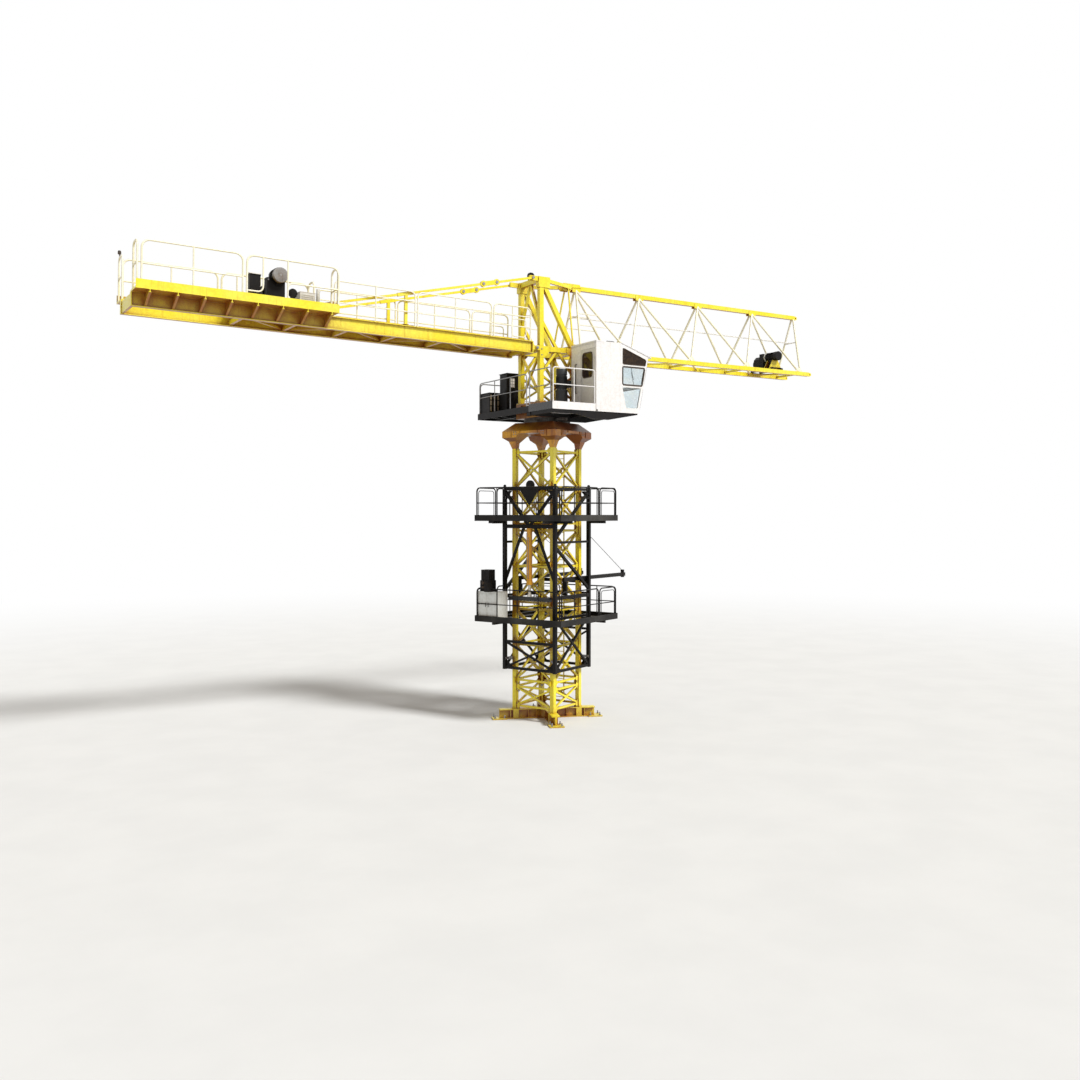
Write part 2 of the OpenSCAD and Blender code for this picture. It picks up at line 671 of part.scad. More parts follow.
// Rotating tower between the seat and the level of the pins
tower_top = pin_z + 80;
module tower_leg(x, y, z0, z1) {
  block([x - tower_leg_w/2, y - tower_leg_w/2, z0], [x + tower_leg_w/2, y + tower_leg_w/2, z1]);
}
module tower_frame() color("gold") {
  for (x = [-tower_x, tower_x], y = [-tower_y, tower_y]) {
    tower_leg(x, y, feet_z, tower_top);
    block([x - 120, y - 120, feet_z], [x + 120, y + 120, feet_z + 25]);
  }
  for (s = [-1, 1]) {
    translate([jib_pin_x, s*jib_w/2, pin_z]) fork(jib_pin_x - tower_face, 80);
    translate([-counter_pin_x, s*beam_at, pin_z]) mirror([1, 0, 0]) fork(counter_pin_x - tower_face - 30, 75);
    block([-tower_face, s*(tower_y - 75), pin_z - 75], [-tower_face - 30, s*(beam_at + 58), pin_z + 75]);
    for (t = [-1, 1]) translate([t*tower_x, s*(tower_y + tower_leg_w/2), pin_z]) rotate([90, 0, 0])
      translate([0, 0, -6]) linear_extrude(12)
        polygon([[-t*280, tower_top - pin_z], [t*75, tower_top - pin_z], [t*75, -280], [-t*75, -280],
                 [-t*280, -90]]);
  }
}

// Bracing of the tower's near and far sides, cut flush at the legs
ring_beam_w = 120;
ring_beam_h = 2*(tower_top - pin_z);
module tower_side_bracing() color("gold") intersection() {
  for (y = [-tower_y, tower_y]) {
    bar([-tower_x, y, pin_z], [tower_x, y, pin_z], ring_beam_w, ring_beam_h);
    for (x = [-tower_x, tower_x]) {
      bar([0, y, pin_z], [x, y, feet_z + 850], 70, 80);
      bar([x, y, feet_z + 850], [-x, y, feet_z + 100], 60, 60);
    }
  }
  block([-tower_x + tower_leg_w/2, -2*tower_y, feet_z], [tower_x - tower_leg_w/2, 2*tower_y, tower_top]);
}

// Bracing of the tower's sides towards the jib and the counter-jib, cut flush at the legs
module tower_cross_bracing() color("gold") intersection() {
  for (x = [-tower_x, tower_x]) {
    bar([x, -tower_y, pin_z], [x, tower_y, pin_z], ring_beam_w, ring_beam_h);
    for (y = [-tower_y, tower_y]) bar([x, y, feet_z + 150], [x, -y, pin_z - 60], 70, 70);
  }
  block([-2*tower_x, -tower_y + tower_leg_w/2, feet_z], [2*tower_x, tower_y - tower_leg_w/2, tower_top]);
}

// Gussets at the head's rear corners and blocks on its front corners, where link and struts seat
module head_seats() {
  for (y = [-tower_y, tower_y]) {
    block([-tower_x - 120, y - 90, head_top - 330], [link_x0, y + 90, head_top]);
    block([tower_x - tower_leg_w/2, y - tower_leg_w/2, tower_top],
          [tower_face, y + tower_leg_w/2, tower_top + 140]);
  }
}

// Half the thickness of the gussets that the pendants are pinned to
gusset_half = 40;

// Tower head: upright rear legs, inclined front legs, ties and the gussets for link and pendants
module tower_head() color("gold") difference() {
  top = head_top - 80;
  union() {
    head_seats();
    for (y = [-tower_y, tower_y]) {
      tower_leg(-tower_x, y, tower_top, head_top);
      bar([tower_x, y, tower_top - 60], [-tower_x, y, head_top - 60], 130, 140);
      bar([-tower_x, y, tower_top + 850], [0, y, tower_top - 60], 80, 90);
      block([-tower_x - 420, y + sign(y)*20 - gusset_half, head_top - 150],
            [-tower_x - 100, y + sign(y)*20 + gusset_half, head_top]);
    }
    bar([-tower_x, -tower_y, top], [-tower_x, tower_y, top], 150, 160);
    bar([-tower_x, 0, top], [-tower_x, tower_y, tower_top + 700], 80, 80);
    bar([-tower_x, 0, top], [-tower_x, -tower_y, tower_top + 700], 80, 80);
    bar([tower_x, -tower_y, tower_top + 60], [tower_x, tower_y, tower_top + 60], 100, 100);
  }
  block([-2000, -2000, pin_z - 3000], [2000, 2000, tower_top]);
}

module top_sheave() color("#202022") translate([-tower_x, 0, head_top]) {
  block([-60, -80, 0], [60, -60, 150]);
  block([-60, 60, 0], [60, 80, 150]);
  translate([0, 0, 130]) rotate([90, 0, 0]) translate([0, 0, -80]) cylinder(h = 160, r = 25, $fn = 24);
  translate([0, 0, 130]) rotate([90, 0, 0]) translate([0, 0, -30]) cylinder(h = 60, r = 110, $fn = 32);
}

// Top link from the head to the jib's upper chord, with light struts down to the front corners
link_x0 = -tower_x + 300;
link_x1 = chord_x0 - 80;
module top_link() color("gold") difference() {
  z = jib_top_z;
  union() {
    for (s = [-1, 1]) {
      bar([link_x0 - 60, s*(tower_y - 20), z - 20], [link_x1, s*90, z], 90, 110);
      rod([link_x1, s*100, z - 40], [tower_x, s*tower_y, tower_top + 130], 28);
    }
    block([link_x1 - 60, -150, z - 70], [chord_x0, 150, z + 70]);
    for (s = [-1, 1]) translate([0, s*92 + 8, z]) rotate([90, 0, 0]) linear_extrude(16)
      polygon([[link_x1 - 250, -60], [link_x1 - 180, 115], [chord_x0 + 370, 115], [chord_x0 + 430, 20],
               [chord_x0 + 60, -5], [chord_x0, -130], [link_x1 - 180, -130]]);
  }
  head_seats();
}

// Jib chords: two lower chords and one upper chord, with pin eyes at both ends
module chord_solids() {
  for (s = [-1, 1])
    block([chord_x0, s*jib_w/2 - chord_w/2, pin_z - chord_w/2],
          [jib_end, s*jib_w/2 + chord_w/2, pin_z + chord_w/2]);
  block([chord_x0, -chord_w/2, jib_top_z - chord_w/2],
        [top_end, chord_w/2, jib_top_z + chord_w/2]);
}
module eye(x, y, z, r, t) {
  translate([x, y + t/2, z]) rotate([90, 0, 0]) difference() {
    union() {
      cylinder(h = t, r = r, $fn = 40);
      translate([-eye_reach - 1, -r, 0]) cube([eye_reach + 1, 2*r, t]);
    }
    translate([0, 0, -1]) cylinder(h = t + 2, r = eye_hole_r, $fn = 40);
  }
}
module jib_chords() color("gold") {
  chord_solids();
  for (s = [-1, 1]) translate([jib_pin_x, s*jib_w/2, pin_z]) pinned_lug(chord_x0 - jib_pin_x + 1, 60);
  for (s = [-1, 1]) eye(jib_end + eye_reach, s*jib_w/2, pin_z, 65, 50);
  eye(top_end + eye_reach, 0, jib_top_z, 68, 60);
  for (x = apex_x)
    block([x - 160, -chord_w/2 - 12, jib_top_z - chord_w/2 - 60], [x + 160, -chord_w/2 + 1, jib_top_z + 40]);
  for (x = apex_x)
    block([x - 160, chord_w/2 - 1, jib_top_z - chord_w/2 - 60], [x + 160, chord_w/2 + 12, jib_top_z + 40]);
}

// One side of the jib: two bars down from each apex, cut flush at the chords
module web_bars(s) {
  foot = [0, s*jib_w/2, pin_z];
  top = [0, s*web_side, jib_top_z];
  for (i = [0:3]) {
    rod([apex_x[i], 0, 0] + top, [i == 0 ? 900 : node_x[i], 0, 0] + foot, web_r);
    rod([apex_x[i], 0, 0] + top, [node_x[i] + bay, 0, 0] + foot, web_r);
  }
  rod([top_end - 60, 0, 0] + top, [end_node + 60, 0, 0] + foot, web_r);
}
module jib_web(s) color("khaki") difference() {
  web_bars(s);
  jib_chords();
}

// Floor of the jib: cross members and diagonals between the lower chords
module jib_floor_bracing() color("gold") difference() {
  union() {
    y = jib_w/2;
    xs = concat([900], [for (i = [1:3]) node_x[i]], [end_node]);
    for (x = xs) bar([x, -y, pin_z], [x, y, pin_z], 70, 70);
    for (i = [0:3]) {
      m = (xs[i] + xs[i + 1])/2;
      bar([xs[i], -y, pin_z], [m, y, pin_z], 50, 50);
      bar([m, y, pin_z], [xs[i + 1], -y, pin_z], 50, 50);
    }
  }
  chord_solids();
}

// Lifeline along the jib, between two tie bars in its first and last frames
line_z = pin_z + jib_h*0.56;
function web_y(z) = web_side + (jib_w/2 - web_side)*(jib_top_z - z)/jib_h;
module lifeline() color("white") difference() {
  union() {
    t = (jib_top_z - line_z)/jib_h;
    x0 = apex_x[0] + (900 - apex_x[0])*t;
    x1 = top_end - 60 + (end_node + 120 - top_end)*t;
    rod([x0, -web_y(line_z), line_z], [x0, web_y(line_z), line_z], 14);
    rod([x1, -web_y(line_z), line_z], [x1, web_y(line_z), line_z], 14);
    rod([x0, 0, line_z], [x1, 0, line_z], 9, 6);
  }
  for (s = [-1, 1]) web_bars(s);
}

// Trolley winch across the floor of the jib: gearbox with drum on the far side, motor on the near side
winch_x = end_node - 1052;
module trolley_winch() color("#202022") {
  z = pin_z + chord_w/2;
  for (x = [winch_x - 220, winch_x + 220])
    block([x - 40, -jib_w/2 + 30, z], [x + 40, jib_w/2 - 30, z + 70]);
  block([winch_x - 270, -jib_w/2 + 60, z + 70], [winch_x + 270, jib_w/2 - 40, z + 90]);
  block([winch_x - 190, -20, z + 90], [winch_x + 200, 180, z + 640]);
  translate([winch_x, 170, z + 300]) rotate([-90, 0, 0]) cylinder(h = 330, r = 130, $fn = 48);
  translate([winch_x, 490, z + 300]) rotate([-90, 0, 0]) cylinder(h = 30, r = 185, $fn = 48);
  translate([winch_x, -620, z + 510]) rotate([-90, 0, 0]) cylinder(h = 601, r = 135, $fn = 48);
  block([winch_x - 100, -420, z + 90], [winch_x + 100, -200, z + 400]);
}

// Counter-jib: everything on it is drawn along the beams and tilted about the pins
module on_counter() {
  translate([-counter_pin_x, 0, pin_z]) rotate([0, counter_tilt, 0]) mirror([1, 0, 0]) children();
}
beam_top = beam_h/2;
module counter_beams() color("gold") on_counter() {
  for (s = [-1, 1]) {
    translate([counter_x0, s*beam_at, -beam_h/2]) rotate([90, 0, 90])
      linear_extrude(counter_l - counter_x0) i_section(beam_h, beam_w, 16, 20);
    translate([0, s*beam_at, 0]) pinned_lug(counter_x0 + 1, 65);
    block([counter_x0, s*beam_at - beam_w/2, -beam_h/2], [counter_x0 + 30, s*beam_at + beam_w/2, beam_h/2]);
    block([counter_l - 20, s*beam_at - beam_w/2, -beam_h/2], [counter_l, s*beam_at + beam_w/2, beam_h/2]);
  }
}

// Cross members and zigzag between the beams; the outer bay stays open for the counterweights
module counter_bracing() color("gold") on_counter() {
  y = beam_at - 8;
  zs = -beam_h/2 + 90;
  first = 240;
  xs = [for (i = [0:6]) first + i*(weight_bay_x - 230 - first + 30)/6];
  for (x = xs) block([x - 45, -y, zs - 60], [x + 45, y, zs + 60]);
  for (i = [0:5]) difference() {
    bar([xs[i], (i % 2 == 0 ? -1 : 1)*y, zs], [xs[i + 1], (i % 2 == 0 ? 1 : -1)*y, zs], 60, 60);
    for (s = [-1, 1]) block([0, s*y, zs - 100], [counter_l, s*(y + 100), zs + 100]);
  }
  block([counter_l - 90, -y, -beam_h/2 + 21], [counter_l - 21, y, beam_h/2 - 21]);
}

// Decks: narrow walkway between the beams, and wide platforms on knee brackets outside them
bracket_n = 8;
bracket_step = (wide_to - wide_from - 550)/(bracket_n - 1);
module knee_bracket(s) {
  rotate([90, 0, 90]) linear_extrude(16)
    polygon([[s*(beam_at + 8), beam_top - 20], [s*(beam_at + beam_w/2), beam_top - 20],
             [s*(beam_at + beam_w/2), beam_top], [s*deck_edge, beam_top], [s*deck_edge, beam_top - 60],
             [s*(beam_at + 8), -beam_top + 20]]);
}
module counter_deck() color("gold") on_counter() {
  block([300, -beam_at + 30, beam_top], [wide_from - 2, beam_at - 30, beam_top + floor_t]);
  block([wide_from - 3, -beam_at + 62, beam_top], [weight_bay_x - 50, beam_at - 62, beam_top + floor_t]);
  for (s = [-1, 1]) {
    block([wide_from, s*(beam_at - 60), beam_top], [wide_to, s*deck_edge, beam_top + floor_t]);
    block([wide_from, s*(deck_edge - 10), beam_top], [wide_to, s*deck_edge, beam_top + toe_top]);
    for (i = [0:bracket_n - 1]) translate([wide_from + 200 + i*bracket_step, 0, 0]) knee_bracket(s);
  }
}

// Railings of the counter-jib: tube panels with rounded corners, and two hoops across the outer end
module counter_railing() color("ivory") on_counter() {
  z = beam_top + floor_t;
  e = deck_edge - 10 - tube_r;
  for (s = [-1, 1]) {
    panel_rail([wide_from + 25, s*e], [wide_from + 2535, s*e], z, rail_h, tube_r, [0.52], [0.33, 0.67]);
    panel_rail([wide_from + 2640, s*e], [wide_to - 140, s*e], z, rail_h, tube_r, [0.52], [0.33, 0.67]);
    panel_rail([wide_to - 40, s*(beam_at + 60)], [wide_to - 40, s*(e - 10)], z, rail_h, tube_r, [0.52], []);
    for (x = [[260, 1560], [1640, 4100], [4180, wide_from - 60]])
      panel_rail([x[0], s*walk_y], [x[1], s*walk_y], beam_top, walk_rail_h, tube_r*0.8, [0.4, 0.72], [0.5]);
  }
}

// Pendant bars that hold up the counter-jib, with joint plates and their support posts
fish_l = 620;
fish_h = 190;
post_u = 4445;
pendant_t = 36;
pendant_gap = 1.6;
bracket_half = 30;
module pendants() color("gold") {
  up = beam_top + floor_t;
  for (s = [-1, 1]) {
    y = s*(tower_y + 20);
    a = [-counter_pin_x - pendant_u, y, pin_z + up + pendant_u*sin(counter_tilt) + 90];
    b = [-tower_x - 330, y + s*(gusset_half + pendant_t/2 + pendant_gap), head_top - 75];
    d = (b - a)/norm(b - a);
    bar(a, b, pendant_t, 70);
    fish = b - d*1560;
    bar(fish - d*fish_l/2, fish + d*fish_l/2, 66, fish_h*0.72);
    for (e = [-1, 1]) translate(fish + d*e*fish_l*0.38) rotate([90, 0, 0])
      translate([0, 0, -33]) cylinder(h = 66, r = fish_h/2, $fn = 40);
    rest = a + (b - a)*(post_u - pendant_u)/(a.x - b.x);
    bar(rest - d*260, rest + d*260, 60, 100);
    on_counter() {
      block([pendant_u - 90, y - bracket_half, up], [pendant_u + 80, y + bracket_half, up + 160]);
      block([post_u - 45, rest.y - 35, up], [post_u + 45, rest.y + 35, 1060]);
      block([post_u - 80, rest.y - 50, up], [post_u + 80, rest.y + 20, up + 14]);
    }
  }
}

// Hoist winch: base, bearing plates for the drum, gearbox with the motor on top, and a brake cabinet
hoist_x = wide_from + 1550;
hoist_y = 330;
hoist_half = tower_y + 20 - bracket_half - 15;
drum_z = beam_top + floor_t + 480;
motor_z = drum_z + 400;
module hoist_frame() color("#202022") on_counter() {
  z = beam_top + floor_t;
  difference() {
    union() {
      for (x = [-600, 500])
        block([hoist_x + x - 60, -hoist_half, z], [hoist_x + x + 60, hoist_half, z + 100]);
      for (s = [-1, 1]) {
        block([hoist_x - 660, s*hoist_y - 50, z], [hoist_x + 620, s*hoist_y + 50, z + 100]);
        translate([hoist_x, s*hoist_y + 25, z]) rotate([90, 0, 0]) linear_extrude(50)
          polygon([[-320, 0], [320, 0], [130, drum_z - z + 110], [-130, drum_z - z + 110]]);
      }
      block([hoist_x - 240, -hoist_y - 250, z + 100], [hoist_x + 260, -hoist_y - 20, motor_z - 60]);
    }
    translate([hoist_x, 0, drum_z]) rotate([90, 0, 0])
      translate([0, 0, -500]) cylinder(h = 1000, r = shaft_r + shaft_clearance, $fn = 48);
  }
  translate([hoist_x - 60, -hoist_y - 440, motor_z]) rotate([-90, 0, 0]) cylinder(h = 430, r = 200, $fn = 48);
  block([hoist_x + 400, -480, z + 99], [hoist_x + 700, -180, z + 860]);
  block([hoist_x + 390, -490, z + 859], [hoist_x + 710, -170, z + 880]);
}
module hoist_drum() color("gray") on_counter() translate([hoist_x, 0, drum_z]) rotate([90, 0, 0]) {
  translate([0, 0, -hoist_y - 25]) cylinder(h = 2*hoist_y + 50, r = shaft_r, $fn = 48);
  translate([0, 0, -hoist_y + 35]) cylinder(h = 2*hoist_y - 70, r = drum_r, $fn = 64);
  for (s = [-1, 1]) translate([0, 0, s*(hoist_y - 50) - 12]) cylinder(h = 24, r = drum_flange_r, $fn = 64);
}
module hoist_cabinet() color("gray") on_counter() {
  z = beam_top + floor_t;
  block([wide_from + 420, -500, z], [wide_from + 860, 100, z + 560]);
  block([wide_from + 300, -520, z], [wide_from + 370, -420, z + 700]);
}

// Cab: thin-walled shell with a sloping front roof, a leaning windscreen and its openings
function cab_profile(inset) = [
  [cab_x0 + inset, cab_z + inset],
  [cab_x0 + cab_l - cab_lean - inset, cab_z + inset],
  [cab_x0 + cab_l - inset, cab_z + cab_h - cab_slope - inset*0.6],
  [cab_x0 + cab_roof_flat - inset*0.2, cab_z + cab_h - inset],
  [cab_x0 + inset, cab_z + cab_h - inset]
];
module cab_prism(y0, y1, inset) {
  translate([0, y0, 0]) rotate([90, 0, 0]) linear_extrude(y0 - y1) polygon(cab_profile(inset));
}
win_x = cab_x0 + 1000;
function side_window(i, g) =
  i == 0 ? [[win_x + g, cab_z + 1500 + g], [cab_x0 + cab_l - 120 - g, cab_z + 1500 + g],
            [cab_x0 + cab_l - 90 - g, cab_z + 1690 - g], [win_x + g, cab_z + 2010 - g]] :
  i == 1 ? [[win_x + g, cab_z + 870 + g], [cab_x0 + cab_l - 250 - g, cab_z + 870 + g],
            [cab_x0 + cab_l - 140 - g, cab_z + 1430 - g], [win_x + g, cab_z + 1430 - g]] :
           [[win_x + 130 + g, cab_z + 150 + g], [cab_x0 + cab_l - 420 - g, cab_z + 150 + g],
            [cab_x0 + cab_l - 280 - g, cab_z + 800 - g], [win_x - 20 + g, cab_z + 800 - g]];
module side_cut(i, g) {
  translate([0, cab_y0 + 10, 0]) rotate([90, 0, 0]) linear_extrude(cab_w + 20) polygon(side_window(i, g));
}
visor_reach = 110;
visor_t = 14;
module cab_visor() {
  fall = cab_slope/(cab_l - cab_roof_flat);
  front = cab_x0 + cab_l + visor_reach;
  roof = cab_z + cab_h;
  edge = roof - cab_slope - visor_reach*fall;
  translate([0, cab_y0 + 20, 0]) rotate([90, 0, 0]) linear_extrude(cab_w + 40)
    polygon([[cab_x0 + cab_roof_flat, roof - 2], [front, edge - 2], [front, edge + visor_t],
             [cab_x0 + cab_roof_flat, roof + visor_t]]);
}
module cab_shell() color("whitesmoke") difference() {
  union() {
    cab_prism(cab_y0, cab_y1, 0);
    cab_visor();
    block([cab_x0 - 10, cab_y1 - 10, cab_z + cab_h - 30], [cab_x0 + 200, cab_y0 + 10, cab_z + cab_h + 10]);
    for (z = [door_z0 + 330, door_z0 + door_h - 400]) {
      translate([hinge_x, hinge_y, z]) cylinder(h = 120, r = hinge_r, $fn = 32);
      block([hinge_x - 8, hinge_y - 50, z], [cab_x0 + 1, hinge_y - 6, z + 25]);
      block([hinge_x - 8, hinge_y - 50, z], [hinge_x + 8, hinge_y, z + 25]);
    }
  }
  cab_prism(cab_y0 - cab_wall, cab_y1 + cab_wall, cab_wall);
  for (i = [0:2]) side_cut(i, 0);
  block([cab_x0 - 100, door_y0, door_z0], [cab_x0 + 200, door_y0 + door_w, door_z0 + door_h]);
  block([cab_x0 + cab_l - cab_lean - 300, cab_y0 - 100, cab_z + 900],
        [cab_x0 + cab_l + 400, cab_y1 + 100, cab_z + cab_h - cab_slope - 110]);
  block([cab_x0 + cab_l - cab_lean - 250, cab_y0 - 100, cab_z + 130],
        [cab_x0 + cab_l + 400, cab_y1 + 100, cab_z + 820]);
}

// Panes, one in each opening, held at mid thickness of the wall
module cab_windows() color("lightblue", 0.4) {
  for (i = [0:2], y = [cab_y0 - cab_wall/2, cab_y1 + cab_wall/2])
    translate([0, y + 3, 0]) rotate([90, 0, 0]) linear_extrude(6) polygon(side_window(i, 0));
  for (zz = [[900, cab_h - cab_slope - 110], [130, 820]]) intersection() {
    difference() {
      cab_prism(cab_y0 - 100, cab_y1 + 100, cab_wall/2 - 3);
      cab_prism(cab_y0 - 50, cab_y1 + 50, cab_wall/2 + 3);
    }
    block([cab_x0 + cab_l - cab_lean - 240, cab_y0, cab_z + zz[0]], [cab_x0 + cab_l + 400, cab_y1, cab_z + zz[1]]);
  }
}

// Seat and control console inside the cab
seat_y = cab_y0 - cab_w/2;
module cab_seat() color("#303030") {
  z = cab_z + cab_wall;
  block([cab_x0 + 620, seat_y - 120, z], [cab_x0 + 900, seat_y + 120, z + 380]);
  block([cab_x0 + 520, seat_y - 240, z + 380], [cab_x0 + 1010, seat_y + 240, z + 480]);
  block([cab_x0 + 460, seat_y - 230, z + 440], [cab_x0 + 560, seat_y + 230, z + 1080]);
  for (s = [-1, 1])
    block([cab_x0 + 600, seat_y + s*330 - 85, z], [cab_x0 + 1060, seat_y + s*330 + 85, z + 620]);
}

// Door leaf with its window, hinged on the outer side of the doorway
module cab_door() color("gainsboro") {
  y0 = door_y0 + door_gap;
  y1 = door_y0 + door_w - door_gap;
  z0 = door_z0 + door_gap;
  z1 = door_z0 + door_h - door_gap;
  difference() {
    block([cab_x0, y0, z0], [cab_x0 + 36, y1, z1]);
    block([cab_x0 - 10, y0 + 110, z0 + 1000], [cab_x0 + 50, y1 - 110, z1 - 110]);
  }
  block([cab_x0 + 14, y0 + 109, z0 + 999], [cab_x0 + 20, y1 - 109, z1 - 109]);
  for (z = [door_z0 + 330, door_z0 + door_h - 400]) translate([0, 0, z + 30]) difference() {
    union() {
      translate([hinge_x, hinge_y, 0]) cylinder(h = 70, r = hinge_r + 5, $fn = 32);
      block([hinge_x, hinge_y, 5], [cab_x0 - 1, y0 + 60, 65]);
      block([cab_x0 - 2, y0 + 2, 5], [cab_x0 + 1, y0 + 60, 65]);
    }
    translate([hinge_x, hinge_y, -1]) cylinder(h = 72, r = hinge_r + 0.08, $fn = 32);
  }
  block([cab_x0 - 45, y1 - 80, z0 + 860], [cab_x0 - 30, y1 - 60, z0 + 1000]);
  for (z = [870, 975]) block([cab_x0 - 31, y1 - 80, z0 + z], [cab_x0 + 1, y1 - 60, z0 + z + 15]);
}

// Balcony behind the cab: floor and toe boards on the deck's outriggers
module cab_balcony() color("#e8e8e8") {
  z = cab_z;
  block([balcony_x0, cab_y1, z], [cab_x0 - 20, cab_y0, z + 30]);
  block([balcony_x0, cab_y1, z], [cab_x0 - 20, cab_y1 + 12, z + 230]);
  block([balcony_x0, cab_y1, z], [balcony_x0 + 12, cab_y0, z + 230]);
}
module balcony_railing() color("#d8d8d8") {
  h = 1010;
  z = cab_z + 230;
  panel_rail([balcony_x0 + 40, cab_y1 + 6], [cab_x0 - 60, cab_y1 + 6], z, h, 18, [0.5], [0.5]);
  panel_rail([balcony_x0 + 6, cab_y1 + 80], [balcony_x0 + 6, cab_y0 - 60], z, h, 18, [0.5], []);
}

base_frame();
base_section();
mast_section(0);  // mast_section_1
mast_section(1);  // mast_section_2
mast_section(2);  // mast_section_3
mast_lattice(-90);  // mast_lattice_front
mast_lattice(90);  // mast_lattice_back
mast_lattice(180);  // mast_lattice_left
mast_lattice(0);  // mast_lattice_right
mast_ladder();
lower_support();
slewing_ring();
climbing_rod();
climbing_posts();
climbing_front();
climbing_back();
climbing_side(180);  // climbing_left
climbing_side(0);  // climbing_right
platform_ring(upper_deck_z);  // upper_platform
ring_railing(upper_deck_z);  // upper_railing
platform_ring(lower_deck_z);  // lower_platform
ring_railing(lower_deck_z);  // lower_railing
climbing_cylinder();
guide_rollers();
hydraulic_unit();
introduction_beams();
slewing_ring_inner();
seat_floor();
upper_seat();
service_deck();
deck_railing();
slewing_drive();
control_cabinets();
tower_frame();
tower_side_bracing();
tower_cross_bracing();
tower_head();
top_sheave();
top_link();
jib_chords();
jib_web(-1);  // jib_web_near
jib_web(1);  // jib_web_far
jib_floor_bracing();
lifeline();
trolley_winch();
counter_beams();
counter_bracing();
counter_deck();
counter_railing();
pendants();
hoist_frame();
hoist_drum();
hoist_cabinet();
cab_shell();
cab_windows();
cab_seat();
cab_door();
cab_balcony();
balcony_railing();
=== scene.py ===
"""Finishes, fittings, smooth railings and the stage around the construction of a tower crane."""

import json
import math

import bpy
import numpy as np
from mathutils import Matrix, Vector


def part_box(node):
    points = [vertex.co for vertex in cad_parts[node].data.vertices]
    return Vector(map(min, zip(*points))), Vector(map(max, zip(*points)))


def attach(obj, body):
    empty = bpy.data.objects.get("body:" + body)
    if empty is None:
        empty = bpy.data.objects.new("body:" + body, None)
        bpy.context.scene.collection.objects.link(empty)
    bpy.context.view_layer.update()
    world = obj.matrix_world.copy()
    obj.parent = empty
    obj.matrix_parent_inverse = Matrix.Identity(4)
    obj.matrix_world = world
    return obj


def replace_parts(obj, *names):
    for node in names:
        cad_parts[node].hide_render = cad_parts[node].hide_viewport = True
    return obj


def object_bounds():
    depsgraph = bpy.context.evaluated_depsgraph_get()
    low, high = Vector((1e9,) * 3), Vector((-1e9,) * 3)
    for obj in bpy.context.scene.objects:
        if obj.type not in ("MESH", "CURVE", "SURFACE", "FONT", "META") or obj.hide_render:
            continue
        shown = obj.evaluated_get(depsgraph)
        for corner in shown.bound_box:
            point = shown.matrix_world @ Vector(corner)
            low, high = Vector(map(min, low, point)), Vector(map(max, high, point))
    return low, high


bl_info = {
    "name": "Tower crane finish",
    "version": (1, 0, 0),
    "blender": (4, 5, 0),
    "location": "3D View > Sidebar > Tower Crane",
    "description": "Gives a tower crane its paint, fittings, railings and stage",
    "category": "Object",
}

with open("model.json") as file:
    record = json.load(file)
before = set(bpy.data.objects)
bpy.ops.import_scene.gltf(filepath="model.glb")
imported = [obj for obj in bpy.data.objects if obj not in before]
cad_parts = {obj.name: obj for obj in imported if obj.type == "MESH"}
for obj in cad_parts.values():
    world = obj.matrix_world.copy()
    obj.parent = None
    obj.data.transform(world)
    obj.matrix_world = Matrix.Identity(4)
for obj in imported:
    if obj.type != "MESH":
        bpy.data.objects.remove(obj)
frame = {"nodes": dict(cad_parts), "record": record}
CAD_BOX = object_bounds()

# Heights and faces that the construction gives, in metres
UP = np.array([0.0, 0.0, 1.0])
SQUARE = np.array([[-1, -1, 0], [1, -1, 0], [1, 1, 0], [-1, 1, 0]])
MAST_TURN = math.radians(23)
LEG_AT = 0.73
POST_AT = 0.97
POST_FACE = POST_AT - 0.055
PLATFORM_HALF = 1.66
MAST_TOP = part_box("mast_section_3")[1].z
BASE_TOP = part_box("mast_section_1")[0].z
SECTION = (MAST_TOP - BASE_TOP)/3
CROSS_BEAM_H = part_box("base_frame")[1].z
TOE = 0.14
UPPER_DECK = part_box("upper_platform")[1].z - TOE
LOWER_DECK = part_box("lower_platform")[1].z - TOE
FRAME_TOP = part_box("climbing_posts")[1].z - 0.0072
RING_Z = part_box("slewing_ring")[0].z
DECK_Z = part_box("service_deck")[1].z
DECK_X0, DECK_Y0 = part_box("deck_railing")[0].x - 0.007, -0.9
DECK_X1, DECK_Y1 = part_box("deck_railing")[1].x + 0.007, 2.35
DRIVE_X, DRIVE_Y = -0.05, -0.93
TOWER_LEG = 0.61
PIN_Z = 11.75
JIB_DEPTH = 2.16
TOP_CHORD_Z = PIN_Z + JIB_DEPTH
WEB_TOP_Y, WEB_SPREAD, WEB_FOOT_Y = 0.05, 0.55, 0.6
LIFELINE_RISE = 0.56
COUNTER_PIN_X = -0.805
COUNTER_TILT = math.radians(1.1)
BEAM_AT = 0.65
BEAM_TOP = 0.18
FLOOR_TOP = 0.22
WIDE_FROM, WIDE_TO = 6.7, 11.99
DECK_EDGE = 1.25
HOIST_U, DRUM_H, MOTOR_H = 8.25, 0.70, 1.10
CABINET_U0, CABINET_U1 = WIDE_FROM + 0.42, WIDE_FROM + 0.86
CAB_Z = DECK_Z - 0.19
CAB_X0, CAB_Y0, CAB_Y1 = 0.35, -0.9, -2.25
CAB_TOP, CAB_MIDDLE = CAB_Z + 2.15, -1.575
SHARP_ANGLE = math.radians(38)


def unit(vectors):
    """Vectors brought to a length of one."""
    return vectors/np.linalg.norm(vectors, axis=-1, keepdims=True)


def rows(*axes):
    """Points, one a row, from a number or an array for each axis."""
    return np.stack(np.broadcast_arrays(*axes), -1)


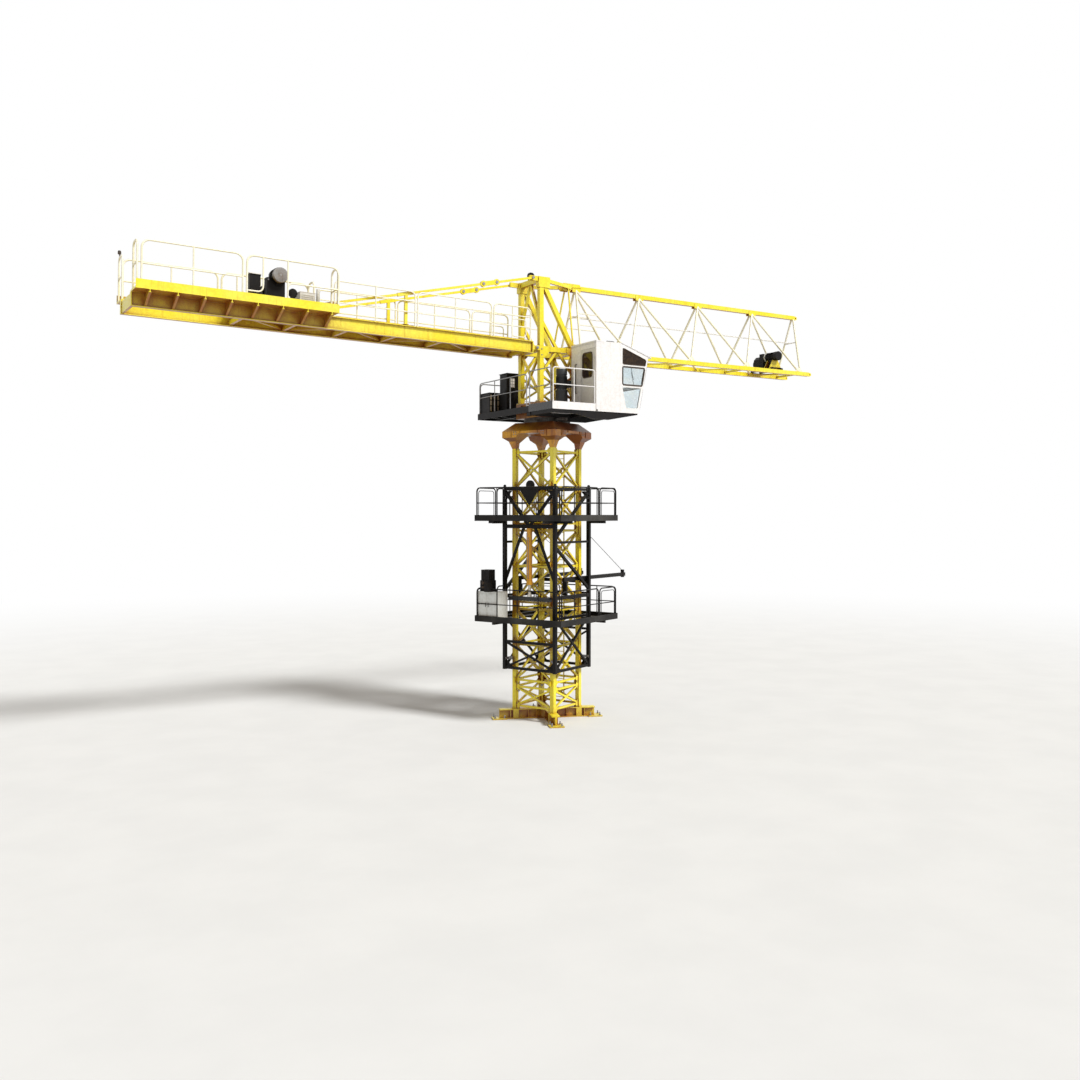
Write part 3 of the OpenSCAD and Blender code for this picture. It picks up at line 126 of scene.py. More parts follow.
def grid_of(*axes):
    """Every combination of the given numbers along X, Y and Z, one point a row."""
    return np.stack(np.meshgrid(*axes, indexing="ij"), -1).reshape(-1, len(axes))


def angles(count, start=0.0):
    """Equal steps of a full turn, in radians."""
    return start + 2*math.pi*np.arange(count)/count


def level_ring(count, radius, centre=(0, 0, 0), start=0.0):
    """Points on a level circle: the centre plus the radius times the cosine and sine of each angle."""
    angle = angles(count, start)
    return np.asarray(centre) + radius*rows(np.cos(angle), np.sin(angle), 0)


def rectangle(a, b):
    """Corners of an upright rectangle between two opposite ones: along first, then up."""
    return [a, (b[0], b[1], a[2]), b, (a[0], a[1], b[2])]


def mirrored(profile):
    """A turned profile followed by its mirror image at the other end."""
    return profile + [(radius, -height) for radius, height in reversed(profile)]


def shape(points, *faces):
    """Points with one array of faces for each number of corners, all anticlockwise from outside."""
    faces = [np.atleast_2d(np.asarray(f, int)) for f in faces]
    corners = np.concatenate([f.ravel() for f in faces])
    sizes = np.concatenate([np.full(len(f), f.shape[1]) for f in faces])
    return np.asarray(points, float).reshape(-1, 3), corners, sizes


def join(*parts):
    """Shapes as one, with the corner numbers of each shifted past the points before it."""
    offsets = np.cumsum([0] + [len(p[0]) for p in parts[:-1]])
    return (np.concatenate([p[0] for p in parts]),
            np.concatenate([p[1] + o for p, o in zip(parts, offsets)]),
            np.concatenate([p[2] for p in parts]))


def copies(part, spots):
    """One copy for each 4 x 4 place: rotation times point plus shift. A mirrored place turns the faces."""
    spots = np.asarray(spots, float).reshape(-1, 4, 4)
    points = np.einsum("nij,pj->npi", spots[:, :3, :3], part[0]) + spots[:, None, :3, 3]
    corners = (part[1] + np.arange(len(spots))[:, None]*len(part[0])).ravel()
    sizes = np.tile(part[2], len(spots))
    if np.linalg.det(spots[0, :3, :3]) < 0:
        corners, sizes = corners[::-1], sizes[::-1]
    return points.reshape(-1, 3), corners, sizes


def places(origins, x_axis=(1, 0, 0), y_axis=(0, 1, 0)):
    """Places from origins and two axes each; the third axis is their cross product."""
    origins = np.atleast_2d(np.asarray(origins, float))
    x_axis = np.broadcast_to(np.asarray(x_axis, float), origins.shape)
    y_axis = np.broadcast_to(np.asarray(y_axis, float), origins.shape)
    made = np.tile(np.eye(4), (len(origins), 1, 1))
    made[:, :3, 0], made[:, :3, 1] = x_axis, y_axis
    made[:, :3, 2], made[:, :3, 3] = np.cross(x_axis, y_axis), origins
    return made


def upright(origins):
    """Places for a plate that stands up along X and Z, and is thick towards -Y."""
    return places(origins, (1, 0, 0), UP)


def across(origins):
    """Places for a turned piece whose axis lies along +Y."""
    return places(origins, (1, 0, 0), (0, 0, -1))


def turns(angle, centre=(0, 0, 0)):
    """Places turned about the upright axis through a centre: cosine and sine of each angle."""
    angle = np.atleast_1d(np.asarray(angle, float))
    x_axis = rows(np.cos(angle), np.sin(angle), 0)
    y_axis = rows(-np.sin(angle), np.cos(angle), 0)
    return places(np.broadcast_to(np.asarray(centre, float), (len(angle), 3)), x_axis, y_axis)


MAST = turns(MAST_TURN)
QUARTERS = turns(angles(4, MAST_TURN))
COUNTER = np.eye(4)
COUNTER[:3, 0] = -math.cos(COUNTER_TILT), 0, math.sin(COUNTER_TILT)
COUNTER[:3, 2] = math.sin(COUNTER_TILT), 0, math.cos(COUNTER_TILT)
COUNTER[:3, 3] = COUNTER_PIN_X, 0, PIN_Z

CUBE = np.array([[0, 0, 0], [1, 0, 0], [1, 1, 0], [0, 1, 0], [0, 0, 1], [1, 0, 1], [1, 1, 1], [0, 1, 1]])
CUBE_FACES = np.array([[0, 3, 2, 1], [4, 5, 6, 7], [0, 1, 5, 4], [1, 2, 6, 5], [2, 3, 7, 6], [3, 0, 4, 7]])


def boxes(starts, ends):
    """Boxes between opposite corners: the low corner plus the unit cube times the size."""
    starts, ends = np.broadcast_arrays(np.atleast_2d(starts), np.atleast_2d(ends))
    low, high = np.minimum(starts, ends), np.maximum(starts, ends)
    points = low[:, None] + CUBE*(high - low)[:, None]
    return shape(points, (CUBE_FACES + 8*np.arange(len(low))[:, None, None]).reshape(-1, 4))


def ring_faces(rings, sides, closed=False):
    """Four-cornered faces between neighbouring rings of equal numbers of points."""
    first = np.arange(rings if closed else rings - 1)[:, None]
    around = np.arange(sides)[None]
    this, following = first*sides, ((first + 1) % rings)*sides
    return np.stack([this + around, this + (around + 1) % sides,
                     following + (around + 1) % sides, following + around], -1).reshape(-1, 4)


def cap_faces(rings, sides):
    """One face on the first ring, turned outwards, and one on the last."""
    return np.stack([np.arange(sides)[::-1], np.arange(sides) + (rings - 1)*sides])


def loft(points, closed=False):
    """Walls between neighbouring rings of points, with both ends capped unless the rings close."""
    rings, sides = points.shape[:2]
    walls = ring_faces(rings, sides, closed)
    return shape(points, walls) if closed else shape(points, walls, cap_faces(rings, sides))


def round_about(first, second, radius, sides):
    """A ring of points: the radius times the cosine on one axis and the sine on another."""
    angle = angles(sides)[:, None]
    return radius*(first*np.cos(angle) + second*np.sin(angle))


def rods(starts, ends, radius, sides=14):
    """Closed round bars: a ring on two axes square to the bar at each end, and walls between them."""
    starts, ends = np.broadcast_arrays(np.atleast_2d(starts), np.atleast_2d(ends))
    along = unit(ends - starts)
    side = unit(np.cross(np.where(np.abs(along[:, 2:]) > 0.9, [1.0, 0.0, 0.0], UP), along))
    ring = round_about(side[:, None], np.cross(along, side)[:, None], radius, sides)
    points = np.stack([starts[:, None] + ring, ends[:, None] + ring], 1)
    steps = np.arange(len(starts))[:, None, None]*2*sides
    return shape(points, (ring_faces(2, sides) + steps).reshape(-1, 4),
                 (cap_faces(2, sides) + steps).reshape(-1, sides))


def tube(path, radius, sides=12, closed=False):
    """A round tube along a flat path: each ring is square to the mean of its two stretches and is
    widened in the bend's plane by one over the cosine of half the bend."""
    path = np.asarray(path, float)
    step = unit(np.roll(path, -1, 0) - path if closed else np.diff(path, axis=0))
    before = np.roll(step, 1, 0) if closed else np.concatenate([step[:1], step])
    after = step if closed else np.concatenate([step, step[-1:]])
    along = unit(before + after)
    turn = np.cross(before, after)
    side = unit(turn[np.argmax(np.linalg.norm(turn, axis=1))])
    other = np.cross(along, side)
    other /= (np.sum(along*after, 1)*np.linalg.norm(other, axis=1))[:, None]
    return loft(path[:, None] + round_about(side, other[:, None], radius, sides), closed)


def rounded(corners, radius, steps=5, closed=False):
    """A path whose corners are circle arcs: rational quadratic curves between the two points where
    the circle touches, with the cosine of half the turn as the corner's weight."""
    corners = np.asarray(corners, float)
    at = corners if closed else corners[1:-1]
    back = unit((np.roll(corners, 1, 0) if closed else corners[:-2]) - at)
    onward = unit((np.roll(corners, -1, 0) if closed else corners[2:]) - at)
    half = np.arccos(np.clip(-np.sum(back*onward, 1), -1, 1))/2
    reach = (radius*np.tan(half))[:, None]
    s = np.linspace(0, 1, steps + 1)[None, :, None]
    weight = np.cos(half)[:, None, None]
    start, end = (at + back*reach)[:, None], (at + onward*reach)[:, None]
    bend = (1 - s)**2*start + 2*weight*s*(1 - s)*at[:, None] + s**2*end
    arcs = (bend/((1 - s)**2 + 2*weight*s*(1 - s) + s**2)).reshape(-1, 3)
    return arcs if closed else np.concatenate([corners[:1], arcs, corners[-1:]])


def frame_loop(points, radius, corner, sides=10):
    """A closed rounded frame round an opening."""
    return tube(rounded(points, corner, 5, True), radius, sides, True)


def prism(outline, thickness):
    """A flat plate: the anticlockwise outline in X and Y, carried up from 0 to its thickness."""
    outline = np.asarray(outline, float)
    return loft(np.stack([rows(*outline.T, 0), rows(*outline.T, thickness)]))


def lathe(profile, sides=32):
    """A turned piece: each (radius, height) of the profile goes round the upright axis."""
    radius, height = np.asarray(profile, float).T[:, :, None]
    angle = angles(sides)
    return loft(rows(radius*np.cos(angle), radius*np.sin(angle), height))


def bolts(origins, axis, radius=0.014, height=0.012):
    """Six-sided heads with a short round end each, standing along one axis."""
    axis = unit(np.asarray(axis, float))
    x_axis = unit(np.cross([1.0, 0, 0] if abs(axis[2]) > 0.9 else UP, axis))
    rim = radius*1.35
    head = lathe([(rim, 0), (rim, height*0.2), (radius, height*0.21), (radius, height)], 6)
    end = lathe([(radius*0.5, height), (radius*0.5, height*1.5)], 8)
    return copies(join(head, end), places(origins, x_axis, np.cross(axis, x_axis)))


def fins(count, low, high, centre=(0, 0, 0), start=0.0):
    """Small boxes in equal steps round the upright axis through a centre."""
    return copies(boxes(low, high), turns(angles(count, start), centre))


def tooth(root, tip, half_tip, height):
    """One tooth of a gear: a plate that narrows from its root outwards."""
    return prism([(root, -0.017), (tip, -half_tip), (tip, half_tip), (root, 0.017)], height)


def panel_rail(a, b, z, height, radius, mids, posts, corner=0.13):
    """A railing panel: a tube up, over and down with rounded corners, level rails and uprights."""
    a, b = np.array([*a, z]), np.array([*b, z])
    up = UP*height
    parts = [tube(rounded([a, a + up, b + up, b], corner), radius)]
    if len(mids):
        level = np.array(mids)[:, None]*up
        parts.append(rods(a + level, b + level, radius*0.8))
    if len(posts):
        stand = a + np.array(posts)[:, None]*(b - a)
        parts.append(rods(stand, stand + up, radius*0.8))
    flange = [(radius*1.35, 0), (radius*1.35, 0.014), (radius*1.2, 0.018), (radius*1.2, 0.03)]
    return join(*parts, copies(lathe(flange, 14), places([a, b])))


def add_piece(name, part, slot, bevel=0.0, finish=None, body="slewing_part"):
    """Puts a shape into a mesh object that rides on a body and has the finish of its slot."""
    points, corners, sizes = part
    mesh = bpy.data.meshes.new(name)
    mesh.vertices.add(len(points))
    mesh.vertices.foreach_set("co", np.ascontiguousarray(points, np.float32).ravel())
    mesh.loops.add(len(corners))
    mesh.loops.foreach_set("vertex_index", np.ascontiguousarray(corners, np.int32))
    mesh.polygons.add(len(sizes))
    starts = np.concatenate([[0], np.cumsum(sizes)[:-1]])
    mesh.polygons.foreach_set("loop_start", starts.astype(np.int32))
    mesh.polygons.foreach_set("use_smooth", np.ones(len(sizes), bool))
    mesh.update(calc_edges=True)
    mesh.set_sharp_from_angle(angle=SHARP_ANGLE)
    mesh.materials.append(material(finish or slot))
    piece = bpy.data.objects.new(name, mesh)
    bpy.context.scene.collection.objects.link(piece)
    if bevel:
        rim = piece.modifiers.new("Bevel", "BEVEL")
        rim.width = bevel
        rim.segments = 1
        rim.limit_method = "ANGLE"
    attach(piece, body)
    return piece


class Graph:
    """Places shader nodes in a tree and links them to each other."""

    def __init__(self, tree):
        self.tree = tree

    def feed(self, node, inputs):
        """Links outputs to a node's sockets, and sets constants on the sockets themselves."""
        for key, value in inputs.items():
            if isinstance(value, bpy.types.NodeSocket):
                self.tree.links.new(value, node.inputs[key])
            else:
                node.inputs[key].default_value = value

    def add(self, kind, inputs=None, **settings):
        made = self.tree.nodes.new("ShaderNode" + kind)
        for key, value in settings.items():
            setattr(made, key, value)
        self.feed(made, inputs or {})
        return made

    def noise(self, vector, scale, detail=3.0, roughness=0.55):
        values = {"Vector": vector, "Scale": scale, "Detail": detail, "Roughness": roughness}
        return self.add("TexNoise", values).outputs[0]

    def ramp(self, value, low, high, start=0.0, end=1.0):
        values = {0: value, 1: low, 2: high, 3: start, 4: end}
        return self.add("MapRange", values, interpolation_type="SMOOTHSTEP").outputs[0]

    def patches(self, vector, scale, detail, *limits):
        """Noise of one scale, taken from its low and high limits to 0 and 1 or to two given values."""
        return self.ramp(self.noise(vector, scale, detail), *limits)

    def math(self, operation, a, b=0.0):
        return self.add("Math", {0: a, 1: b}, operation=operation).outputs[0]

    def times(self, a, *others):
        for other in others:
            a = self.math("MULTIPLY", a, other)
        return a

    def mix(self, factor, a, b):
        return self.add("Mix", {0: factor, 6: a, 7: b}, data_type="RGBA").outputs[2]

    def stretch(self, vector, scale):
        return self.add("Mapping", {"Vector": vector, "Scale": scale}).outputs[0]


def group(name, colours, numbers):
    """A new node group from a vector, colours and numbers to a colour, a roughness and a height."""
    tree = bpy.data.node_groups.new(name, "ShaderNodeTree")
    colour, number = "NodeSocketColor", "NodeSocketFloat"
    tree.interface.new_socket("Vector", in_out="INPUT", socket_type="NodeSocketVector")
    for kind, sockets in ((colour, colours), (number, numbers)):
        for socket, value in sockets.items():
            tree.interface.new_socket(socket, in_out="INPUT", socket_type=kind).default_value = value
    for socket, kind in (("Color", colour), ("Roughness", number), ("Height", number)):
        tree.interface.new_socket(socket, in_out="OUTPUT", socket_type=kind)
    return Graph(tree), tree.nodes.new("NodeGroupInput").outputs, tree.nodes.new("NodeGroupOutput")


def weathered_group():
    """Paint that fades in broad patches, with runs of dirt, painted shade in hollows and on undersides,
    dust on level faces, and worn edges and chips: each is a mask from noise, from the light that the sky
    can give, from the face's tilt or from the rounded normal."""
    graph, given, result = group(
        "weathered_paint",
        {"Paint": (1, 1, 1, 1), "Faded": (1, 1, 1, 1), "Under": (0.1, 0.05, 0.03, 1),
         "Dirt": (0.1, 0.08, 0.06, 1), "PaintedShade": (0.06, 0.03, 0.02, 1)},
        {"GrimeAndShade": 0.4, "Wear": 0.4, "Dust": 0.3, "Gloss": 0.4})
    place = given["Vector"]
    base = graph.mix(graph.patches(place, 0.8, 4, 0.38, 0.66), given["Paint"], given["Faded"])
    base = graph.mix(graph.patches(place, 14, 3, 0.3, 0.75, 0.0, 0.22), base, given["Dirt"])
    runs = graph.patches(graph.stretch(place, (9, 9, 0.7)), 1.6, 5, 0.54, 0.74)
    base = graph.mix(graph.times(runs, given["GrimeAndShade"]), base, given["Dirt"])
    normal = graph.add("NewGeometry").outputs["Normal"]
    tilt = graph.add("SeparateXYZ", {0: normal}).outputs[2]
    # Painted shade: where ambient occlusion finds little open sky, and on faces turned down, the colour is
    # darkened towards the shade colour in patches, scaled by the same amount as the dirt runs.
    open_sky = graph.add("AmbientOcclusion", {"Distance": 1.0}, samples=4).outputs["AO"]
    painted_shade_mask = graph.math("MAXIMUM", graph.ramp(open_sky, 0.82, 0.38), graph.ramp(tilt, -0.4, -0.9, 0.0, 0.95))
    painted_shade_mask = graph.times(painted_shade_mask, graph.patches(place, 3, 4, 0.2, 0.6, 0.75, 1.0),
                         graph.ramp(given["GrimeAndShade"], 0.0, 0.4))
    base = graph.mix(painted_shade_mask, base, given["PaintedShade"])
    settled = graph.times(graph.ramp(tilt, 0.55, 0.95), graph.patches(place, 5, 4, 0.35, 0.7), given["Dust"])
    base = graph.mix(settled, base, (0.42, 0.36, 0.27, 1))
    soft = graph.add("Bevel", {"Radius": 0.005}, samples=3).outputs[0]
    same = graph.add("VectorMath", {0: soft, 1: normal}, operation="DOT_PRODUCT").outputs["Value"]
    edge = graph.times(graph.ramp(same, 0.99, 0.9), graph.patches(place, 11, 4, 0.45, 0.62))
    chips = graph.ramp(graph.noise(place, 38, 5, 0.7), 0.66, 0.7)
    worn = graph.times(graph.math("MAXIMUM", edge, chips), given["Wear"])
    rough = graph.math("ADD", given["Gloss"], graph.patches(place, 24, 3, 0.3, 0.8, -0.05, 0.14))
    rough = graph.math("ADD", rough, graph.times(graph.math("MAXIMUM", worn, settled), 0.35))
    grain = graph.times(graph.noise(place, 160, 2), 0.25)
    graph.feed(result, {"Color": graph.mix(worn, base, given["Under"]), "Roughness": rough,
                        "Height": graph.math("SUBTRACT", grain, worn)})
    return graph.tree


def metal_group():
    """Bare metal: fine lines from noise squeezed along one axis, with stains in patches."""
    graph, given, result = group(
        "bare_metal", {"Metal": (0.5, 0.5, 0.5, 1), "Stain": (0.1, 0.06, 0.03, 1)},
        {"Stained": 0.4, "Gloss": 0.3})
    place = given["Vector"]
    lines = graph.noise(graph.stretch(place, (4, 4, 90)), 6, 3)
    stains = graph.times(graph.patches(place, 7, 5, 0.45, 0.7), given["Stained"])
    rough = graph.math("ADD", given["Gloss"], graph.times(lines, 0.15))
    graph.feed(result, {"Color": graph.mix(stains, given["Metal"], given["Stain"]), "Height": lines,
                        "Roughness": graph.math("ADD", rough, graph.times(stains, 0.3))})
    return graph.tree


GROUPS = {"weathered_paint": weathered_group, "bare_metal": metal_group}


def tools(made):
    """The graph of a material, its Principled shader and its Object coordinates."""
    graph = Graph(made.node_tree)
    return graph, made.node_tree.nodes["Principled BSDF"], graph.add("TexCoord").outputs["Object"]


def new_material(name):
    made = bpy.data.materials.new(name)
    made.use_nodes = True
    return made


def from_group(name, group_name, values, shading):
    """A material whose shader is fed by one placement of a shared group, its height through a bump."""
    made = new_material(name)
    graph, shader, place = tools(made)
    tree = bpy.data.node_groups.get(group_name) or GROUPS[group_name]()
    effect = graph.add("Group", {"Vector": place, **values}, node_tree=tree).outputs
    bump = graph.add("Bump", {"Height": effect["Height"], "Strength": 0.35, "Distance": 0.002})
    graph.feed(shader, {"Base Color": effect["Color"], "Roughness": effect["Roughness"],
                        "Normal": bump.outputs[0], **shading})
    return made


def painted(name, paint, faded, dirt=(0.16, 0.09, 0.04), under=(0.14, 0.06, 0.03), painted_shade_colour=None, grime_and_shade=0.4,
            wear=0.5, dust=0.3, gloss=0.36, coat=0.15, shine=0.5):
    """Weathered paint under a thin clear coat, with painted shade in its hollows and on its undersides."""
    return from_group(name, "weathered_paint", {
        "Paint": (*paint, 1), "Faded": (*faded, 1), "Dirt": (*dirt, 1), "Under": (*under, 1),
        "PaintedShade": (*(painted_shade_colour or dirt), 1), "GrimeAndShade": grime_and_shade, "Wear": wear, "Dust": dust, "Gloss": gloss,
    }, {"Coat Weight": coat, "Coat Roughness": 0.2, "Specular IOR Level": shine})


def bare(name, metal, stain, stained=0.4, gloss=0.3):
    """Stained metal with fine lines."""
    return from_group(name, "bare_metal", {
        "Metal": (*metal, 1), "Stain": (*stain, 1), "Stained": stained, "Gloss": gloss}, {"Metallic": 0.9})


def black_below(made, axis, low, high, black):
    """Black over the colour of a material where a coordinate is low, by a mask between two places."""
    graph, shader, place = tools(made)
    mask = graph.ramp(graph.add("SeparateXYZ", {0: place}).outputs[axis], low, high)
    colour = shader.inputs["Base Color"].links[0].from_socket
    graph.feed(shader, {"Base Color": graph.mix(mask, black, colour)})
    return graph, shader, mask


def rod_and_crossbeam(name):
    """Ground steel on the piston rod, and black paint on the crossbeam below it."""
    made = bare(name, (0.6, 0.57, 0.52), (0.25, 0.15, 0.06), 0.35, 0.2)
    top = BASE_TOP + SECTION + 0.31
    graph, shader, mask = black_below(made, 2, top + 0.002, top + 0.004, (0.014, 0.014, 0.015, 1))
    graph.feed(shader, {"Metallic": graph.times(mask, 0.9)})
    return made


def balcony_paint(name):
    """White paint, and black on the plate at the back."""
    paint, factor, values = PAINTS["white_paint"]
    made = painted(name, *own_colours(paint, factor), **{**values, "coat": 0.15})
    black_below(made, 0, DECK_X0 + 0.013, DECK_X0 + 0.016, (0.012, 0.012, 0.013, 1))
    return made


def window_glass(name, tint=(0.84, 0.92, 0.95), dusty=(0.9, 0.94, 0.95), clear=0.96):
    """Window glass with dust that dulls it in patches."""
    made = new_material(name)
    graph, shader, place = tools(made)
    tint = graph.mix(graph.patches(place, 2, 3, 0.3, 0.7), (*tint, 1), (*dusty, 1))
    graph.feed(shader, {"Base Color": tint, "Roughness": graph.patches(place, 4, 5, 0.4, 0.75, 0.015, 0.12),
                        "Transmission Weight": clear, "IOR": 1.45})
    return made


def glass_with_painted_shade(name):
    """The door's window, with the painted shade of the dark room behind it in its colour."""
    return window_glass(name, (0.035, 0.022, 0.018), (0.07, 0.05, 0.045), 0.25)


def woven_cover(name):
    """Dark seat fabric: a fine weave from two crossed waves, with a soft sheen."""
    made = new_material(name)
    graph, shader, place = tools(made)
    waves = [graph.add("TexWave", {"Vector": place, "Scale": 95.0, "Distortion": 0.6},
                       bands_direction=axis).outputs[1] for axis in "YZ"]
    weave = graph.times(*waves)
    tone = graph.mix(graph.patches(place, 12, 3, 0.3, 0.7), (0.02, 0.02, 0.023, 1), (0.06, 0.06, 0.065, 1))
    bump = graph.add("Bump", {"Height": weave, "Strength": 0.5, "Distance": 0.001})
    graph.feed(shader, {"Base Color": graph.mix(weave, tone, (0.09, 0.09, 0.1, 1)), "Roughness": 0.85,
                        "Normal": bump.outputs[0], "Sheen Weight": 0.3})
    return made


# Painted shade: the near-black colour for the hollows and undersides of black paint.
PAINTED_CREVICE_SHADE = (0.004, 0.0035, 0.003)

# For each finish the paint and the faded colour, and the values that differ from those of painted().
# A paint may be the name of a setting, with the factor that turns it into the faded colour.
# In each finish the colour given for hollows is painted shade, for its hollows and undersides.
PAINTS = {
    "yellow_paint": ("yellow", (1.0, 1.05, 4.0), dict(
        wear=0.3, dirt=(0.45, 0.24, 0.01), under=(0.2, 0.08, 0.02), dust=0.1, painted_shade_colour=(0.30, 0.075, 0.006))),
    # The lower support and its seats: the yellow paint with the deck's shade painted in as dark red-brown.
    "support_painted_shade": ((0.34, 0.10, 0.01), (0.78, 0.40, 0.012), dict(
        wear=0.4, grime_and_shade=0.8, dirt=(0.20, 0.055, 0.012), under=(0.1, 0.04, 0.02), dust=0.1,
        painted_shade_colour=(0.13, 0.032, 0.01))),
    "pale_yellow_paint": ((0.93, 0.91, 0.70), (0.93, 0.92, 0.82), dict(
        grime_and_shade=0.2, wear=0.15, dirt=(0.6, 0.5, 0.25), dust=0.1, painted_shade_colour=(0.5, 0.36, 0.12))),
    "black_paint": ("black", 1.7, dict(
        dirt=(0.03, 0.022, 0.016), shine=0.12, under=(0.10, 0.06, 0.035), dust=0.12, gloss=0.45, coat=0.0,
        painted_shade_colour=PAINTED_CREVICE_SHADE)),
    "deck_black": ((0.014, 0.014, 0.015), (0.06, 0.06, 0.056), dict(
        dirt=(0.05, 0.04, 0.03), under=(0.10, 0.06, 0.035), shine=0.12, gloss=0.45, coat=0.0,
        painted_shade_colour=PAINTED_CREVICE_SHADE)),
    "rail_grey": ((0.26, 0.27, 0.29), (0.38, 0.39, 0.41), dict(dirt=(0.1, 0.08, 0.06), wear=0.3, coat=0.0)),
    "blind": ((0.012, 0.008, 0.007), (0.022, 0.014, 0.012), dict(
        grime_and_shade=0.1, wear=0.0, dust=0.0, gloss=0.5, coat=0.0, shine=0.15)),
    "orange_paint": ((0.94, 0.42, 0.01), (0.90, 0.48, 0.02), dict(
        wear=0.4, dirt=(0.35, 0.12, 0.01), painted_shade_colour=(0.28, 0.07, 0.01))),
    "cabinet_paint": ((0.80, 0.84, 0.84), (0.86, 0.87, 0.86), dict(
        grime_and_shade=0.25, wear=0.3, dirt=(0.45, 0.42, 0.36))),
    "machine_grey": ((0.03, 0.034, 0.04), (0.05, 0.054, 0.06), dict(
        dirt=(0.02, 0.018, 0.016), wear=0.4, gloss=0.42, coat=0.0, dust=0.15, shine=0.3)),
    "rope_white": ((0.95, 0.95, 0.93), (0.92, 0.92, 0.89), dict(wear=0.0, grime_and_shade=0.1, gloss=0.7, coat=0.0)),
    "white_paint": ("white", 0.96, dict(
        grime_and_shade=0.16, wear=0.25, dust=0.2, dirt=(0.5, 0.46, 0.4), under=(0.35, 0.3, 0.26),
        gloss=0.28, coat=0.3)),
    "door_paint": ((0.72, 0.72, 0.71), (0.66, 0.66, 0.65), dict(
        grime_and_shade=0.25, wear=0.3, dirt=(0.4, 0.37, 0.33))),
    "slat_beige": ((0.62, 0.55, 0.40), (0.7, 0.64, 0.5), dict(grime_and_shade=0.3, wear=0.3)),
    "fan_grey": ((0.24, 0.25, 0.26), (0.32, 0.33, 0.34), dict(grime_and_shade=0.5)),
    "rubber": ((0.012, 0.012, 0.013), (0.03, 0.03, 0.03), dict(wear=0.0, dust=0.5, gloss=0.65, coat=0.0)),
}
METALS = {
    "ring_steel": ((0.13, 0.12, 0.11), (0.05, 0.03, 0.02), 0.7, 0.42),
    "roller_steel": ((0.3, 0.3, 0.31), (0.12, 0.06, 0.03), 0.5, 0.35),
}
MAKERS = {"chrome_rod": rod_and_crossbeam, "balcony_paint": balcony_paint, "glass": window_glass,
          "glass_with_painted_shade": glass_with_painted_shade, "seat_cover": woven_cover}


def own_colours(paint, faded):
    """Paint and faded colour, taken from a setting where the paint is the setting's name."""
    if isinstance(paint, str):
        paint = np.array(getattr(bpy.context.scene.tower_crane, paint))
        faded = paint*faded
    return paint, faded


def material(name):
    """The finish with that name, made the first time it is asked for."""
    title = "finish_" + name
    found = bpy.data.materials.get(title)
    if found:
        return found
    if name in MAKERS:
        return MAKERS[name](title)
    if name in METALS:
        return bare(title, *METALS[name])
    paint, faded, values = PAINTS[name]
    return painted(title, *own_colours(paint, faded), **values)


class CraneSettings(bpy.types.PropertyGroup):
    """Sizes and colours that change the look of the crane."""
    rail_radius: bpy.props.FloatProperty(
        name="Rail radius", description="Outer radius of the railing tubes of the counter-jib",
        default=0.027, min=0.012, max=0.03, unit="LENGTH")
    web_radius: bpy.props.FloatProperty(
        name="Web bar radius", description="Radius of the round bars between the jib's chords",
        default=0.036, min=0.02, max=0.04, unit="LENGTH")
    yellow: bpy.props.FloatVectorProperty(
        name="Yellow", description="Paint of the mast, tower, jib and counter-jib",
        default=(0.92, 0.79, 0.02), min=0, max=1, subtype="COLOR")
    black: bpy.props.FloatVectorProperty(
        name="Black", description="Paint of the climbing frame, decks and machines",
        default=(0.009, 0.009, 0.010), min=0, max=1, subtype="COLOR")
    white: bpy.props.FloatVectorProperty(
        name="White", description="Paint of the cab and its balcony",
        default=(0.86, 0.86, 0.88), min=0, max=1, subtype="COLOR")
    sun_strength: bpy.props.FloatProperty(
        name="Sun", description="Strength of the soft sun", default=3.3, min=0, max=6)


